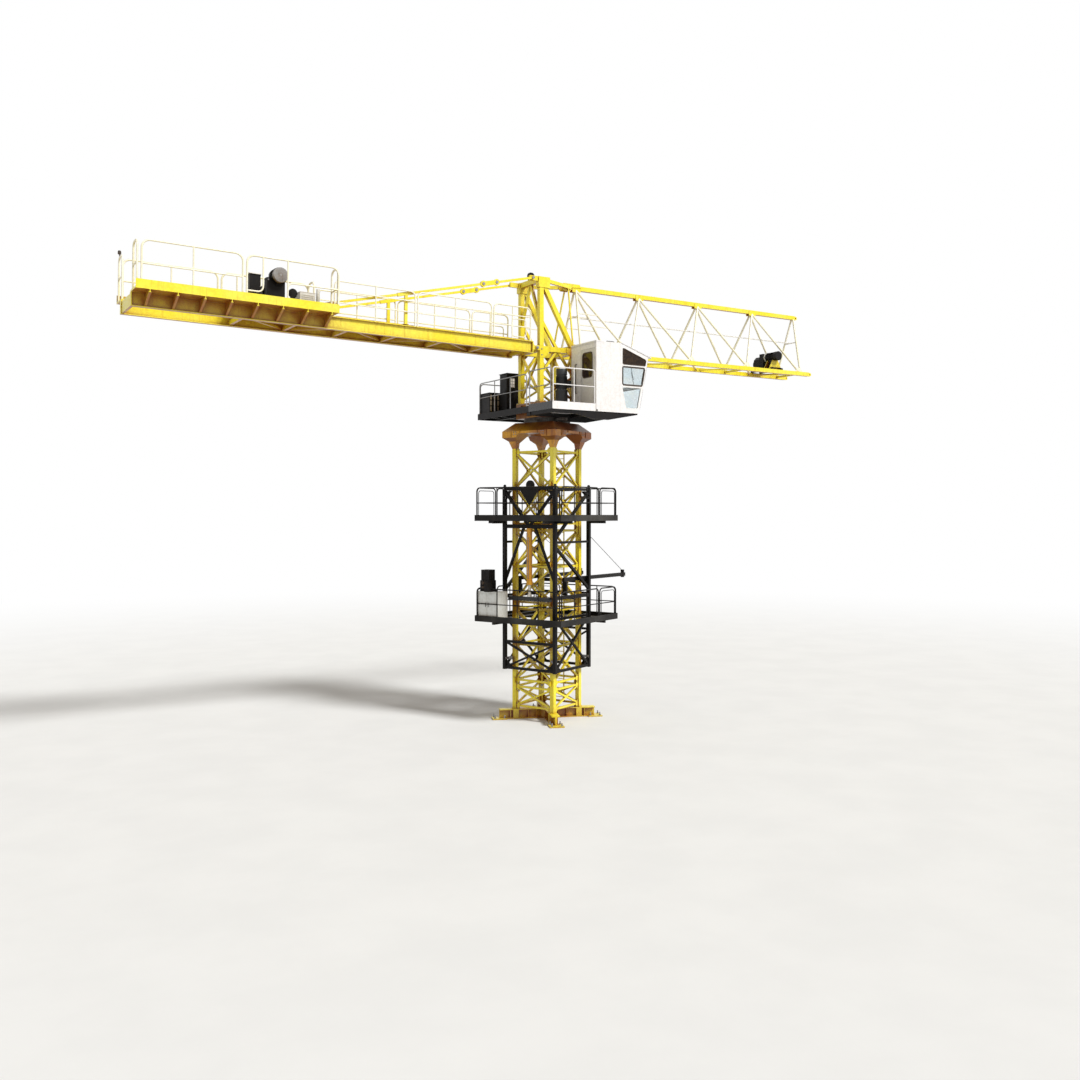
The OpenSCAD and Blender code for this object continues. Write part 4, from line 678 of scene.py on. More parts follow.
class CRANE_OT_stage(bpy.types.Operator):
    """Pale floor, soft sun, white surroundings and the camera"""
    bl_idname = "crane.stage"
    bl_label = "Stage"

    def execute(self, context):
        scene = context.scene
        half_floor, floor_z = 160.0, CAD_BOX[0][2] - 0.002
        corners = SQUARE*half_floor + UP*floor_z
        mesh = bpy.data.meshes.new("floor")
        mesh.from_pydata(corners.tolist(), [], [(0, 1, 2, 3)])
        floor = bpy.data.objects.new("floor", mesh)
        scene.collection.objects.link(floor)
        mesh.materials.append(self.floor_material())
        lamp = bpy.data.lights.new("sun", "SUN")
        lamp.energy = scene.tower_crane.sun_strength
        lamp.angle = math.radians(13)
        lamp.color = (1.0, 0.97, 0.92)
        sun = bpy.data.objects.new("sun", lamp)
        sun.rotation_euler = Vector((-0.34, 0.70, -0.78)).to_track_quat("-Z", "Y").to_euler()
        scene.collection.objects.link(sun)
        self.surroundings(scene)
        camera_data = bpy.data.cameras.new("camera")
        camera_data.sensor_width = 36.0
        camera_data.lens = 35.0
        camera_data.clip_end = 500.0
        camera = bpy.data.objects.new("camera", camera_data)
        camera.location = (-18.13, -28.58, 6.6)
        aim = Vector((0.530, 0.848, -math.tan(math.radians(1.47))))
        camera.rotation_euler = aim.to_track_quat("-Z", "Y").to_euler()
        scene.collection.objects.link(camera)
        scene.camera = camera
        scene.view_settings.view_transform = "Standard"
        return {"FINISHED"}

    @staticmethod
    def floor_material():
        """Pale concrete that turns to plain white far away for the camera alone."""
        made = new_material("finish_floor")
        graph, shader, place = tools(made)
        tone = graph.mix(graph.patches(place, 0.5, 5, 0.3, 0.7), (0.74, 0.77, 0.80, 1), (0.77, 0.80, 0.83, 1))
        graph.feed(shader, {"Base Color": tone, "Roughness": 0.9})
        white = graph.add("Emission", {"Color": (1, 1, 1, 1), "Strength": 1.0})
        away = graph.add("VectorMath", {0: place}, operation="LENGTH").outputs["Value"]
        far = graph.times(graph.ramp(away, 14.0, 60.0), graph.add("LightPath").outputs["Is Camera Ray"])
        blend = graph.add("MixShader", {0: far, 1: shader.outputs[0], 2: white.outputs[0]})
        graph.feed(made.node_tree.nodes["Material Output"], {"Surface": blend.outputs[0]})
        return made

    @staticmethod
    def surroundings(scene):
        """White where the camera, a reflection or glass sees the world, and plain soft light elsewhere."""
        world = bpy.data.worlds.new("surroundings")
        scene.world = world
        world.use_nodes = True
        graph = Graph(world.node_tree)
        soft = world.node_tree.nodes["Background"]
        graph.feed(soft, {"Color": (1.0, 0.90, 0.78, 1), "Strength": 0.40})
        white = graph.add("Background", {"Color": (1, 1, 1, 1), "Strength": 1.0})
        ray = graph.add("LightPath").outputs
        seen = graph.math("MAXIMUM", ray["Is Camera Ray"], ray["Is Glossy Ray"])
        seen = graph.math("MAXIMUM", seen, ray["Is Transmission Ray"])
        both = graph.add("MixShader", {0: seen, 1: soft.outputs[0], 2: white.outputs[0]})
        graph.feed(world.node_tree.nodes["World Output"], {"Surface": both.outputs[0]})


class CRANE_OT_finishes(bpy.types.Operator):
    """Every carried-over piece of the construction gets the finish of its slot, except that the lower support
    and seats get yellow with the deck's shade painted in, and a few pieces their own finish
    """
    bl_idname = "crane.finishes"
    bl_label = "Finishes"

    def execute(self, context):
        slots = {row["node"]: row["material_slot"] for row in frame["record"]["subparts"]}
        # The lower support and seats take yellow with the deck's shade painted in as dark red-brown; the
        # others their own finish.
        own = {"lower_support": "support_painted_shade", "upper_seat": "support_painted_shade", "seat_floor": "support_painted_shade",
               "cab_balcony": "balcony_paint", "upper_platform": "deck_black", "lower_platform": "deck_black"}
        for name, node in frame["nodes"].items():
            node.data.materials.clear()
            node.data.materials.append(material(own.get(name, slots[name])))
        return {"FINISHED"}


class CRANE_OT_base_fittings(bpy.types.Operator):
    """Anchor bolts on the foot plates and ribs between the flanges of the crossed beams"""
    bl_idname = "crane.base_fittings"
    bl_label = "Base fittings"

    def execute(self, context):
        feet = turns(angles(4, MAST_TURN + math.pi/4))
        holes = level_ring(4, 0.22, (1.56, 0, 0.035), math.pi/4)
        nut = join(lathe([(0.037, 0), (0.037, 0.006), (0.032, 0.0062), (0.032, 0.036)], 6),
                   lathe([(0.0195, 0.036), (0.0195, 0.095), (0.016, 0.1)], 12))
        add_piece("anchor_nuts", copies(copies(nut, places(holes)), feet), "roller_steel", body="mast")
        low = grid_of([0.35, 0.62, 1.2], [0.03, -0.03], [0.035])
        high = low + (0.014, 0, 0.25)
        high[:, 1] = np.sign(low[:, 1])*0.126
        add_piece("base_ribs", copies(boxes(low, high), feet), "yellow_paint", body="mast")
        return {"FINISHED"}


class CRANE_OT_mast_fittings(bpy.types.Operator):
    """Plates and bolts where the mast's braces meet, and the joint bolts of the sections"""
    bl_idname = "crane.mast_fittings"
    bl_label = "Mast fittings"

    def execute(self, context):
        inset, inner, side, thick = 0.11, LEG_AT - 0.07, -LEG_AT - 0.032, 0.008
        front = side - thick
        step, sections = (SECTION - 2*inset)/2, BASE_TOP + inset + SECTION*np.arange(3)[:, None]
        levels = (sections + step*np.arange(3)).ravel()
        levels = np.concatenate([[CROSS_BEAM_H + inset, BASE_TOP - inset], levels])
        middles = (sections + step*(np.arange(2) + 0.5)).ravel()
        corner = [(0, -0.12), (0.05, -0.12), (0.13, -0.04), (0.13, 0.04), (0.05, 0.12), (0, 0.12)]
        corner, cross = prism(corner, thick), prism(level_ring(8, 0.075, start=math.pi/8)[:, :2], thick)
        plates = join(copies(corner, upright(grid_of([-inner], [side], levels))),
                      copies(corner, places(grid_of([inner], [front], levels), (-1, 0, 0), UP)),
                      copies(cross, upright(grid_of([0.0], [side], middles))))
        add_piece("brace_plates", copies(plates, QUARTERS), "yellow_paint", body="mast")
        heads = [grid_of([0.03 - inner, inner - 0.03], [front], levels + shift) for shift in (-0.08, 0.08)]
        heads = bolts(np.concatenate([*heads, grid_of([-0.035, 0.035], [front], middles)]), (0, -1, 0))
        add_piece("brace_bolts", copies(heads, QUARTERS), "roller_steel", body="mast")
        sleeve, joints = [LEG_AT - 0.078], BASE_TOP + SECTION*np.arange(3)
        heads = bolts(grid_of(sleeve, sleeve, joints + 0.23), UP, 0.04, 0.034)
        nuts = bolts(grid_of(sleeve, sleeve, joints - 0.23), -UP, 0.038, 0.045)
        add_piece("section_bolts", copies(join(heads, nuts), QUARTERS), "roller_steel", body="mast")
        return {"FINISHED"}


class CRANE_OT_support_fittings(bpy.types.Operator):
    """Cover plates, ribs and bolts of the lower support, and the ring's teeth with the drive's pinion"""
    bl_idname = "crane.support_fittings"
    bl_label = "Support fittings"

    def execute(self, context):
        low, high, face, front = MAST_TOP + 0.415, MAST_TOP + 0.533, -1.03, -1.036
        plate = boxes(grid_of([-0.60, 0.46], [front], [low]), [[-0.46, face, high], [0.60, face, high]])
        rib_x, rib_z = np.array([-0.68, -0.34, 0.34, 0.68]), MAST_TOP + np.array([0.35, 0.47, 0.47, 0.35])
        ribs = boxes(rows(rib_x - 0.006, -1.05, rib_z), rows(rib_x + 0.006, face, high + 0.015))
        # Yellow plates with the deck's shade painted in as dark red-brown.
        add_piece("support_plates", copies(join(plate, ribs), QUARTERS), "yellow_paint", 0.002,
                  finish="support_painted_shade", body="mast")
        heads = bolts(grid_of([-0.57, -0.49, 0.49, 0.57], [front], [low + 0.025, high - 0.025]), (0, -1, 0))
        add_piece("support_bolts", copies(heads, QUARTERS), "roller_steel", body="mast")
        ring_r, tip_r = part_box("slewing_ring")[1].x, 0.742
        teeth = copies(tooth(ring_r - 0.003, tip_r, 0.009, 0.1), turns(angles(84), (0, 0, RING_Z + 0.022)))
        add_piece("ring_teeth", teeth, "ring_steel", body="mast")
        drive = np.array([DRIVE_X, DRIVE_Y, RING_Z + 0.03])
        outer = np.hypot(DRIVE_X, DRIVE_Y) - tip_r - 0.006
        cogs = copies(tooth(outer - 0.03, outer, 0.008, 0.09), turns(angles(20, math.pi/20), drive))
        hub = lathe([(outer - 0.029, 0), (outer - 0.029, 0.09), (0.06, 0.091), (0.06, 0.36)])
        add_piece("drive_pinion", join(cogs, copies(hub, places(drive))), "ring_steel")
        return {"FINISHED"}


class CRANE_OT_climbing_fittings(bpy.types.Operator):
    """Corner webs, hanger plate with its sheave, pins, post eyes, and the cylinder's pipes and bolts"""
    bl_idname = "crane.climbing_fittings"
    bl_label = "Climbing frame fittings"

    def execute(self, context):
        half, reach = 0.007, 0.24
        web = prism([(0, 0), (reach, 0), (0, reach)], 2*half)
        top_rail, low_rail = FRAME_TOP - 0.13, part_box("climbing_posts")[0].z + 0.1
        corners = [copies(web, places([x*POST_FACE, -POST_AT - half*x*s, z], (-x, 0, 0), (0, 0, s)))
                   for x in (-1, 1) for z, s in ((top_rail, -1), (low_rail, 1))]
        add_piece("corner_webs", copies(join(*corners), QUARTERS), "black_paint", body="climbing_frame")
        hanger = copies(prism([(-0.36, 0), (0, -0.5), (0.36, 0)], 0.016),
                        upright([0.03, -POST_AT - 0.045, top_rail + 0.02]))
        wheel = lathe(mirrored([(0.05, -0.03), (0.15, -0.03), (0.155, -0.022), (0.128, -0.008)]), 40)
        wheel = copies(wheel, across([0.03, -POST_AT, FRAME_TOP + 0.04]))
        forks = boxes(grid_of([-0.05], [-POST_AT - 0.052, -POST_AT + 0.042], [FRAME_TOP - 0.1]),
                      grid_of([0.11], [-POST_AT - 0.042, -POST_AT + 0.052], [FRAME_TOP + 0.08]))
        add_piece("frame_hanger", copies(join(hanger, wheel, forks), turns(MAST_TURN - math.pi/2)),
                  "black_paint", 0.002, body="climbing_frame")
        post, long, z = POST_AT, 0.075, FRAME_TOP - 0.06
        pins = join(rods([post, post - long, z], [post, post + long, z], 0.018),
                    rods([post - long, post, z], [post + long, post, z], 0.014))
        add_piece("post_pins", copies(pins, QUARTERS), "roller_steel", body="climbing_frame")
        rise = np.linspace(0, math.pi, 13)
        eye = rows(0.048*np.cos(rise), 0.025 + 0.048*np.sin(rise))
        eye = prism(np.concatenate([[[-0.048, -0.06], [0.048, -0.06]], eye]), 0.036)
        eyes = copies(eye, upright([post, post + 0.018, FRAME_TOP]))
        add_piece("post_eyes", copies(eyes, QUARTERS), "black_paint", 0.003, body="climbing_frame")
        self.cylinder_parts()
        return {"FINISHED"}

    @staticmethod
    def cylinder_parts():
        """Two hard pipes bent beside the barrel, and a ring of bolts on its gland."""
        low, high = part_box("climbing_cylinder")
        wall = -POST_AT - 0.085
        pipes = []
        for y, drop in ((0.04, 0.16), (-0.04, 0.3)):
            path = rectangle((wall, y, high.z - drop), (wall - 0.035, y, low.z + 0.2))
            pipes.append(tube(rounded(path, 0.02, 4), 0.008, 8))
        add_piece("cylinder_pipes", copies(join(*pipes), MAST), "roller_steel", body="climbing_frame")
        heads = bolts(level_ring(10, 0.074, (-POST_AT, 0, low.z)), -UP, 0.009, 0.009)
        add_piece("gland_bolts", copies(heads, MAST), "roller_steel", body="climbing_frame")


class CRANE_OT_platform_rails(bpy.types.Operator):
    """Smooth railings of both climbing platforms: three sides have a gate beside the long panel"""
    bl_idname = "crane.platform_rails"
    bl_label = "Platform railings"

    def execute(self, context):
        radius, gate, gap = 0.02, 0.98, 0.08
        y, half, height = -PLATFORM_HALF + 0.012 + radius, PLATFORM_HALF - 0.08, 1.0
        gated, plain_side = np.delete(QUARTERS, 3, 0), QUARTERS[3]
        for node, z in (("upper_railing", UPPER_DECK), ("lower_railing", LOWER_DECK)):
            inner = rectangle((half - gate + 0.09, y, z + 0.06), (half - 0.09, y, z + 0.91))
            side = join(
                panel_rail((-half, y), (half - gate - gap, y), z, height, radius, [0.52], [1/3, 2/3]),
                panel_rail((half - gate, y), (half, y), z, height, radius, [0.52], []),
                frame_loop(inner, 0.011, 0.09))
            front = panel_rail((-half, y), (half, y), z, height, radius, [0.52], [0.25, 0.5, 0.75])
            rails = join(copies(side, gated), copies(front, plain_side))
            rails = add_piece(node + "_tubes", rails, "black_paint", body="climbing_frame")
            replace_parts(rails, node)
        return {"FINISHED"}


class CRANE_OT_deck_rails(bpy.types.Operator):
    """Smooth railings of the service deck, and of the balcony behind the cab on two sides"""
    bl_idname = "crane.deck_rails"
    bl_label = "Deck railings"

    def execute(self, context):
        radius, height, inset = 0.018, 1.0, 0.025
        west, east, far = DECK_X0 + inset, DECK_X1 - inset, DECK_Y1 - inset
        start, end = DECK_Y0 + 0.15, DECK_Y1 - 0.1
        rails = join(
            panel_rail((west, start), (west, end), DECK_Z, height, radius, [0.52], [1/3, 2/3]),
            panel_rail((DECK_X0 + 0.09, far), (DECK_X1 - 0.09, far), DECK_Z, height, radius, [0.52], [0.5]),
            panel_rail((east, end), (east, start), DECK_Z, height, radius, [0.52], [1/3, 2/3]))
        rails = add_piece("deck_railing_tubes", rails, "black_paint", finish="rail_grey")
        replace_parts(rails, "deck_railing")
        z, side, back, height = CAB_Z + 0.23, CAB_Y1 + 0.006, DECK_X0 + 0.006, 1.01
        a, b = (DECK_X0 + 0.04, side), (CAB_X0 - 0.06, side)
        rails = panel_rail(a, b, z, height, radius, [0.5], [0.5], 0.08)
        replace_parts(add_piece("balcony_railing_tubes", rails, "white_paint"), "balcony_railing")
        rails = panel_rail((back, CAB_Y1 + 0.08), (back, CAB_Y0 - 0.06), z, height, radius, [0.5], [], 0.08)
        add_piece("balcony_back_rail", rails, "white_paint", finish="rail_grey")
        return {"FINISHED"}


class CRANE_OT_counter_rails(bpy.types.Operator):
    """Smooth railings of the counter-jib, its end hoops, small inner frames and the far lamp"""
    bl_idname = "crane.counter_rails"
    bl_label = "Counter-jib railings"

    def execute(self, context):
        radius = context.scene.tower_crane.rail_radius
        thin, edge, height, parts = radius*0.8, DECK_EDGE - 0.01 - radius, 1.18, []
        start, post, split = WIDE_FROM + 0.025, WIDE_FROM + 1.44, WIDE_FROM + 2.535
        half_up, step_up, top = FLOOR_TOP + 0.5*height, FLOOR_TOP + 0.26, FLOOR_TOP + height
        for s in (-1, 1):
            y, inner = s*edge, s*0.70
            bent = rounded([[post, y, FLOOR_TOP], [post, y, half_up], [start, y, half_up]], 0.14)
            step = rounded([[split, y, step_up], [split - 0.43, y, step_up], [split - 0.43, y, top]], 0.14)
            parts += [
                panel_rail((WIDE_FROM + 2.64, y), (WIDE_TO - 0.14, y), FLOOR_TOP, height, radius,
                           [0.5], [0.5], 0.2),
                panel_rail((start, y), (split, y), FLOOR_TOP, height, radius, [], [], 0.2),
                rods([post, y, FLOOR_TOP], [post, y, top], thin), tube(bent, thin), tube(step, thin)]
            for u in (WIDE_TO - 0.04, WIDE_FROM + 0.03):
                a, b = (u, s*(BEAM_AT + 0.06)), (u, s*(edge - 0.035))
                parts.append(panel_rail(a, b, FLOOR_TOP, height, radius, [0.52], [], 0.16))
            for a, b in ((0.26, 1.56), (1.64, 4.10), (4.18, WIDE_FROM - 0.06)):
                ends = (a, inner), (b, inner)
                parts.append(panel_rail(*ends, BEAM_TOP, 1.0, thin, [0.4, 0.72], [0.5], 0.16))
            small = rectangle((0.42, inner, BEAM_TOP + 0.08), (0.92, inner, BEAM_TOP + 0.62))
            parts.append(frame_loop(small, radius*0.6, 0.1))
        rails = add_piece("counter_railing_tubes", copies(join(*parts), COUNTER), "pale_yellow_paint")
        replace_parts(rails, "counter_railing")
        foot = np.array([WIDE_TO - 0.05, edge - 0.02, top - 0.02])
        head = foot + UP*0.12
        lamp = copies(lathe([(0.035, 0), (0.045, 0.01), (0.045, 0.07), (0.03, 0.1)], 20), places(head))
        lamp = copies(join(rods(foot, head, 0.012), lamp), COUNTER)
        add_piece("end_lamp", lamp, "black_paint", finish="rubber")
        return {"FINISHED"}


class CRANE_OT_hydraulics(bpy.types.Operator):
    """Doors, vents and cap of the hydraulic tank, and its motor with fins, cover and dials"""
    bl_idname = "crane.hydraulics"
    bl_label = "Hydraulic unit"

    def execute(self, context):
        x0, x1, y0, y1 = -1.59, -1.07, 0.79, 1.59
        low, top = LOWER_DECK, LOWER_DECK + 0.9
        doors = boxes([[x0 - 0.008, y0 + 0.03, low + 0.06], [x0 - 0.008, y0 + 0.43, low + 0.06]],
                      [[x0, y0 + 0.4, top - 0.05], [x0, y1 - 0.03, top - 0.05]])
        slats = grid_of([x0 + 0.08], [y1], low + 0.5 + 0.045*np.arange(7))
        lid = boxes([x0 - 0.01, y0 - 0.01, top], [x1 + 0.01, y1 + 0.01, top + 0.014])
        tank = copies(join(doors, boxes(slats, slats + (0.36, 0.012, 0.02)), lid), MAST)
        add_piece("tank_doors", tank, "cabinet_paint", 0.003, body="climbing_frame")
        grips = grid_of([x0 - 0.03], [y0 + 0.36, y0 + 0.47], [low + 0.42])
        handles = rods(grips, grips + UP*0.14, 0.008)
        cap = lathe([(0.05, 0), (0.05, 0.05), (0.042, 0.06)], 20)
        cap = copies(cap, places([x0 + 0.12, y0 + 0.15, top + 0.014]))
        add_piece("tank_handles", copies(join(handles, cap), MAST), "black_paint", body="climbing_frame")
        motor = np.array([-1.36, 1.35, top + 0.35])
        block = boxes([x0 + 0.055, y1 - 0.425, top + 0.012], [x0 + 0.405, y1 - 0.055, top + 0.356])
        shell = lathe([(0.12, 0.004), (0.142, 0.004), (0.142, 0.335), (0.146, 0.336), (0.146, 0.341)], 40)
        cooling = fins(28, [0.135, -0.003, 0.03], [0.158, 0.003, 0.25], motor)
        slope = copies(prism([(0, 0), (0.2, 0), (0, 0.34)], 0.3),
                       places([x0 + 0.09, y1 - 0.42, top + 0.014], (0, -1, 0), UP))
        cover = boxes([x0 + 0.075, y1 - 0.40, top + 0.356], [x0 + 0.385, y1 - 0.08, top + 0.695])
        pump = copies(join(block, copies(shell, places(motor)), cooling, slope, cover), MAST)
        add_piece("pump_motor", pump, "black_paint", body="climbing_frame")
        dials = copies(lathe([(0.05, 0), (0.05, 0.02), (0.04, 0.03)], 20),
                       places(grid_of([x0 + 0.055], [y1 - 0.16], [top + 0.12, top + 0.28]), UP, (0, 1, 0)))
        add_piece("pump_dials", copies(dials, MAST), "black_paint", finish="rubber", body="climbing_frame")
        return {"FINISHED"}


class CRANE_OT_cabinets(bpy.types.Operator):
    """Door, hinges and bare plate of the control cabinet, and the resistor box with its slats"""
    bl_idname = "crane.cabinets"
    bl_label = "Control cabinets"

    def execute(self, context):
        z = DECK_Z
        doors = boxes([[-0.862, 1.10, z + 0.05], [-0.83, 1.068, z + 0.05], [-0.60, 1.068, z + 0.05]],
                      [[-0.85, 1.54, z + 1.19], [-0.61, 1.08, z + 1.19], [-0.40, 1.08, z + 1.19]])
        roof = boxes([[-0.875, 1.055, z + 1.24], [-1.215, 1.625, z + 0.64]],
                     [[-0.355, 1.585, z + 1.26], [-0.315, 2.275, z + 0.66]])
        hinges = np.array([[-0.875, 1.14, z + 0.55], [-0.64, 1.055, z + 0.55]])
        cabinet = join(doors, roof, rods(hinges, hinges + UP*0.17, 0.01))
        add_piece("cabinet_doors", cabinet, "black_paint", 0.003)
        plates = boxes(grid_of([-0.75, -0.66], [1.064], z + np.array([0.80, 0.90, 1.0])),
                       grid_of([-0.67, -0.58], [1.068], z + np.array([0.89, 0.99, 1.09])))
        add_piece("cabinet_plates", plates, "white_paint", 0.001)
        front = grid_of(-1.175 + 0.135*np.arange(6), [1.628], z + 0.05 + 0.19*np.arange(3))
        slats = boxes(front, front + (0.06, 0.012, 0.16))
        add_piece("resistor_slats", slats, "cabinet_paint", 0.002, finish="slat_beige")
        return {"FINISHED"}


class CRANE_OT_slewing_motor(bpy.types.Operator):
    """Fins, flange bolts, foot bolts and fan cover of the slewing drive"""
    bl_idname = "crane.slewing_motor"
    bl_label = "Slewing motor"

    def execute(self, context):
        centre = np.array([DRIVE_X, DRIVE_Y, DECK_Z])
        cooling = fins(32, [0.155, -0.003, 0.60], [0.18, 0.003, 0.98], centre, math.pi/32)
        cover = lathe([(0.172, 1.028), (0.175, 1.03), (0.175, 1.198), (0.17, 1.205), (0.12, 1.205)], 40)
        bars = grid_of([DRIVE_X], DRIVE_Y + 0.03*np.arange(-4, 5), [DECK_Z + 1.206])
        grille = rods(bars - (0.1, 0, 0), bars + (0.1, 0, 0), 0.004, 8)
        add_piece("motor_fins", join(cooling, copies(cover, places(centre)), grille), "machine_grey")
        feet = grid_of([-0.23, 0.13], [-1.075, -0.765], [DECK_Z + 0.04])
        flange = bolts(level_ring(12, 0.182, centre + UP*0.545), UP, 0.01, 0.01)
        heads = join(flange, bolts(feet, UP, 0.016, 0.014))
        add_piece("drive_bolts", heads, "roller_steel")
        return {"FINISHED"}


class CRANE_OT_tower_fittings(bpy.types.Operator):
    """Foot bolts, pin heads with their keeper plates, hand rails through the tower, and the sheave's rim"""
    bl_idname = "crane.tower_fittings"
    bl_label = "Tower fittings"

    def execute(self, context):
        leg = [-TOWER_LEG, TOWER_LEG]
        legs = grid_of(leg, [-0.58, 0.58], [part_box("upper_seat")[1].z + 0.025])
        spots = (legs[:, None] + 0.097*SQUARE).reshape(-1, 3)
        gussets = grid_of(leg, [0.661], PIN_Z + np.array([-0.2, -0.02]))
        sides = [bolts(gussets*(1, s, 1), (0, s, 0), 0.018, 0.016) for s in (1, -1)]
        add_piece("tower_bolts", join(bolts(spots, UP, 0.017, 0.015), *sides), "roller_steel")
        pin = lathe([(0.046, 0), (0.046, 0.012), (0.03, 0.014), (0.03, 0.03)], 24)
        heads = []
        for s in (-1, 1):
            pins = [[0.755, s*0.67, PIN_Z], [COUNTER_PIN_X, s*0.72, PIN_Z]]
            heads.append(copies(pin, places(pins, (s, 0, 0), (0, 0, -1))))
        add_piece("pin_heads", join(*heads), "roller_steel")
        levels, side = np.array([12.56, 12.99, 13.44]), 0.59
        slope_foot, slope_height = 11.83, 2.15
        ends = TOWER_LEG - 2*TOWER_LEG*(levels - slope_foot)/slope_height
        rails = rods(rows(-0.54, side, levels), rows(ends + 0.04, side, levels), 0.012)
        add_piece("tower_hand_rails", rails, "pale_yellow_paint")
        rim = lathe(mirrored([(0.085, -0.034), (0.118, -0.034), (0.12, -0.03), (0.106, -0.01)]), 40)
        low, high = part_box("top_sheave")
        wheel = copies(rim, across([(low.x + high.x)/2, 0, high.z - 0.11]))
        wheel[0][:, 2] = np.minimum(wheel[0][:, 2], CAD_BOX[1][2])
        add_piece("sheave_rim", wheel, "black_paint")
        return {"FINISHED"}


class CRANE_OT_jib(bpy.types.Operator):
    """Round web bars of the jib with foot plates and hand rails at its root, and the lifeline"""
    bl_idname = "crane.jib"
    bl_label = "Jib webs"

    def execute(self, context):
        bay, count, apex_x, foot_x = 2.6, np.arange(4), 1.08, 0.9
        apex, node = apex_x + count*bay*0.99, 0.33 + count*bay*0.99
        end_node = node[3] + bay
        top_end = end_node + 0.3
        first_foot = np.where(count == 0, foot_x, node)
        tops = np.concatenate([apex, apex, [top_end - 0.06]])
        feet = np.concatenate([first_foot, node + bay, [end_node + 0.06]])
        plate = prism([(-0.17, 0), (0.17, 0), (0.08, 0.15), (-0.08, 0.15)], 0.012)
        stations = np.concatenate([first_foot[:1], node + bay - 0.013])
        share = np.array([0.394, 0.574])
        for side, s in (("near", -1), ("far", 1)):
            bars = rods(rows(tops, s*WEB_TOP_Y, TOP_CHORD_Z - 0.07), rows(feet, s*WEB_FOOT_Y, PIN_Z + 0.06),
                        context.scene.tower_crane.web_radius, 18)
            plates = copies(plate, upright(rows(stations, s*WEB_FOOT_Y + 0.006, PIN_Z + 0.068)))
            ends = rows(apex_x + (foot_x - apex_x)*share, s*(WEB_TOP_Y + WEB_SPREAD*share),
                        TOP_CHORD_Z - JIB_DEPTH*share)
            root = rods(ends, ends + rows(2.03*share, 0, 0), 0.014)
            web = add_piece("jib_web_" + side + "_bars", join(bars, plates, root), "pale_yellow_paint")
            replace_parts(web, "jib_web_" + side)
        share = 1 - LIFELINE_RISE
        start = apex_x + (foot_x - apex_x)*share
        end = top_end - 0.06 + (end_node + 0.12 - top_end)*share
        self.lifeline(start, end, WEB_TOP_Y + WEB_SPREAD*share, TOP_CHORD_Z - JIB_DEPTH*share)
        return {"FINISHED"}

    @staticmethod
    def lifeline(start, end, half, z):
        """A laid rope: three strands wound round its line, each a tube on a helix, with end clamps."""
        along = np.linspace(start, end, 900)
        ring, strands = 0.0115*np.roll(level_ring(6, 1), 1, 1), []
        for phase in angles(3):
            angle = phase + 2*math.pi*(along - start)/0.12
            path = rows(along, 0.010*np.cos(angle), z + 0.010*np.sin(angle))
            strands.append(loft(path[:, None] + ring))
        bars = rods(rows([start, end], -half, z), rows([start, end], half, z), 0.02)
        lows = np.array([start + 0.05, start + 0.14, end - 0.08, end - 0.17])
        clamps = boxes(rows(lows, -0.014, z - 0.016), rows(lows + 0.03, 0.014, z + 0.016))
        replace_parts(add_piece("lifeline_rope", join(*strands, bars, clamps), "rope_white"), "lifeline")


class CRANE_OT_trolley_motor(bpy.types.Operator):
    """Fins, cover and stand of the trolley winch's motor, its drum with a hood, and its gearbox bolts"""
    bl_idname = "crane.trolley_motor"
    bl_label = "Trolley winch"

    def execute(self, context):
        x, z = 9.60, PIN_Z + 0.07
        motor = across([x, -0.62, z + 0.51])
        cover = lathe([(0.06, -0.004), (0.158, -0.004), (0.166, 0.004), (0.166, 0.15), (0.158, 0.152)], 36)
        cooling = fins(28, [0.13, -0.003, 0.16], [0.16, 0.003, 0.54], start=math.pi/28)
        add_piece("trolley_motor_fins", copies(join(cooling, cover), motor), "black_paint")
        side = [(-0.3, 0.02), (0.3, 0.02), (0.3, 0.07), (0.14, 0.36), (-0.14, 0.36), (-0.3, 0.07)]
        stand = copies(prism(side, 0.02), upright([[x, -0.43, z], [x, -0.17, z]]))
        add_piece("trolley_motor_stand", stand, "yellow_paint", 0.002)
        flange = lathe([(0.13, 0.562), (0.172, 0.562), (0.172, 0.6), (0.13, 0.6)], 40)
        add_piece("trolley_motor_flange", copies(flange, motor), "cabinet_paint")
        hood = [(-0.19, 0), (0.2, 0), (0.2, 0.4), (0.08, 0.53), (-0.08, 0.53), (-0.19, 0.42)]
        hood = copies(prism(hood, 0.29), upright([x, 0.475, z + 0.03]))
        add_piece("trolley_drum_hood", hood, "black_paint", 0.004)
        at = np.linspace(0.04, 0.3, 60)
        wound = lathe(rows(0.134 + 0.004*np.abs(np.sin(at*math.pi/0.013)), at), 36)
        inner = lathe([(0.1, 0.012), (0.185, 0.012), (0.185, 0.036), (0.13, 0.038)], 40)
        drum = copies(join(wound, inner), across([x, 0.17, z + 0.30]))
        add_piece("trolley_drum_grooves", drum, "machine_grey")
        heads = grid_of([x - 0.14, x + 0.15], [-0.02], z + np.array([0.16, 0.4]))
        add_piece("trolley_bolts", bolts(heads, (0, -1, 0)), "roller_steel")
        return {"FINISHED"}


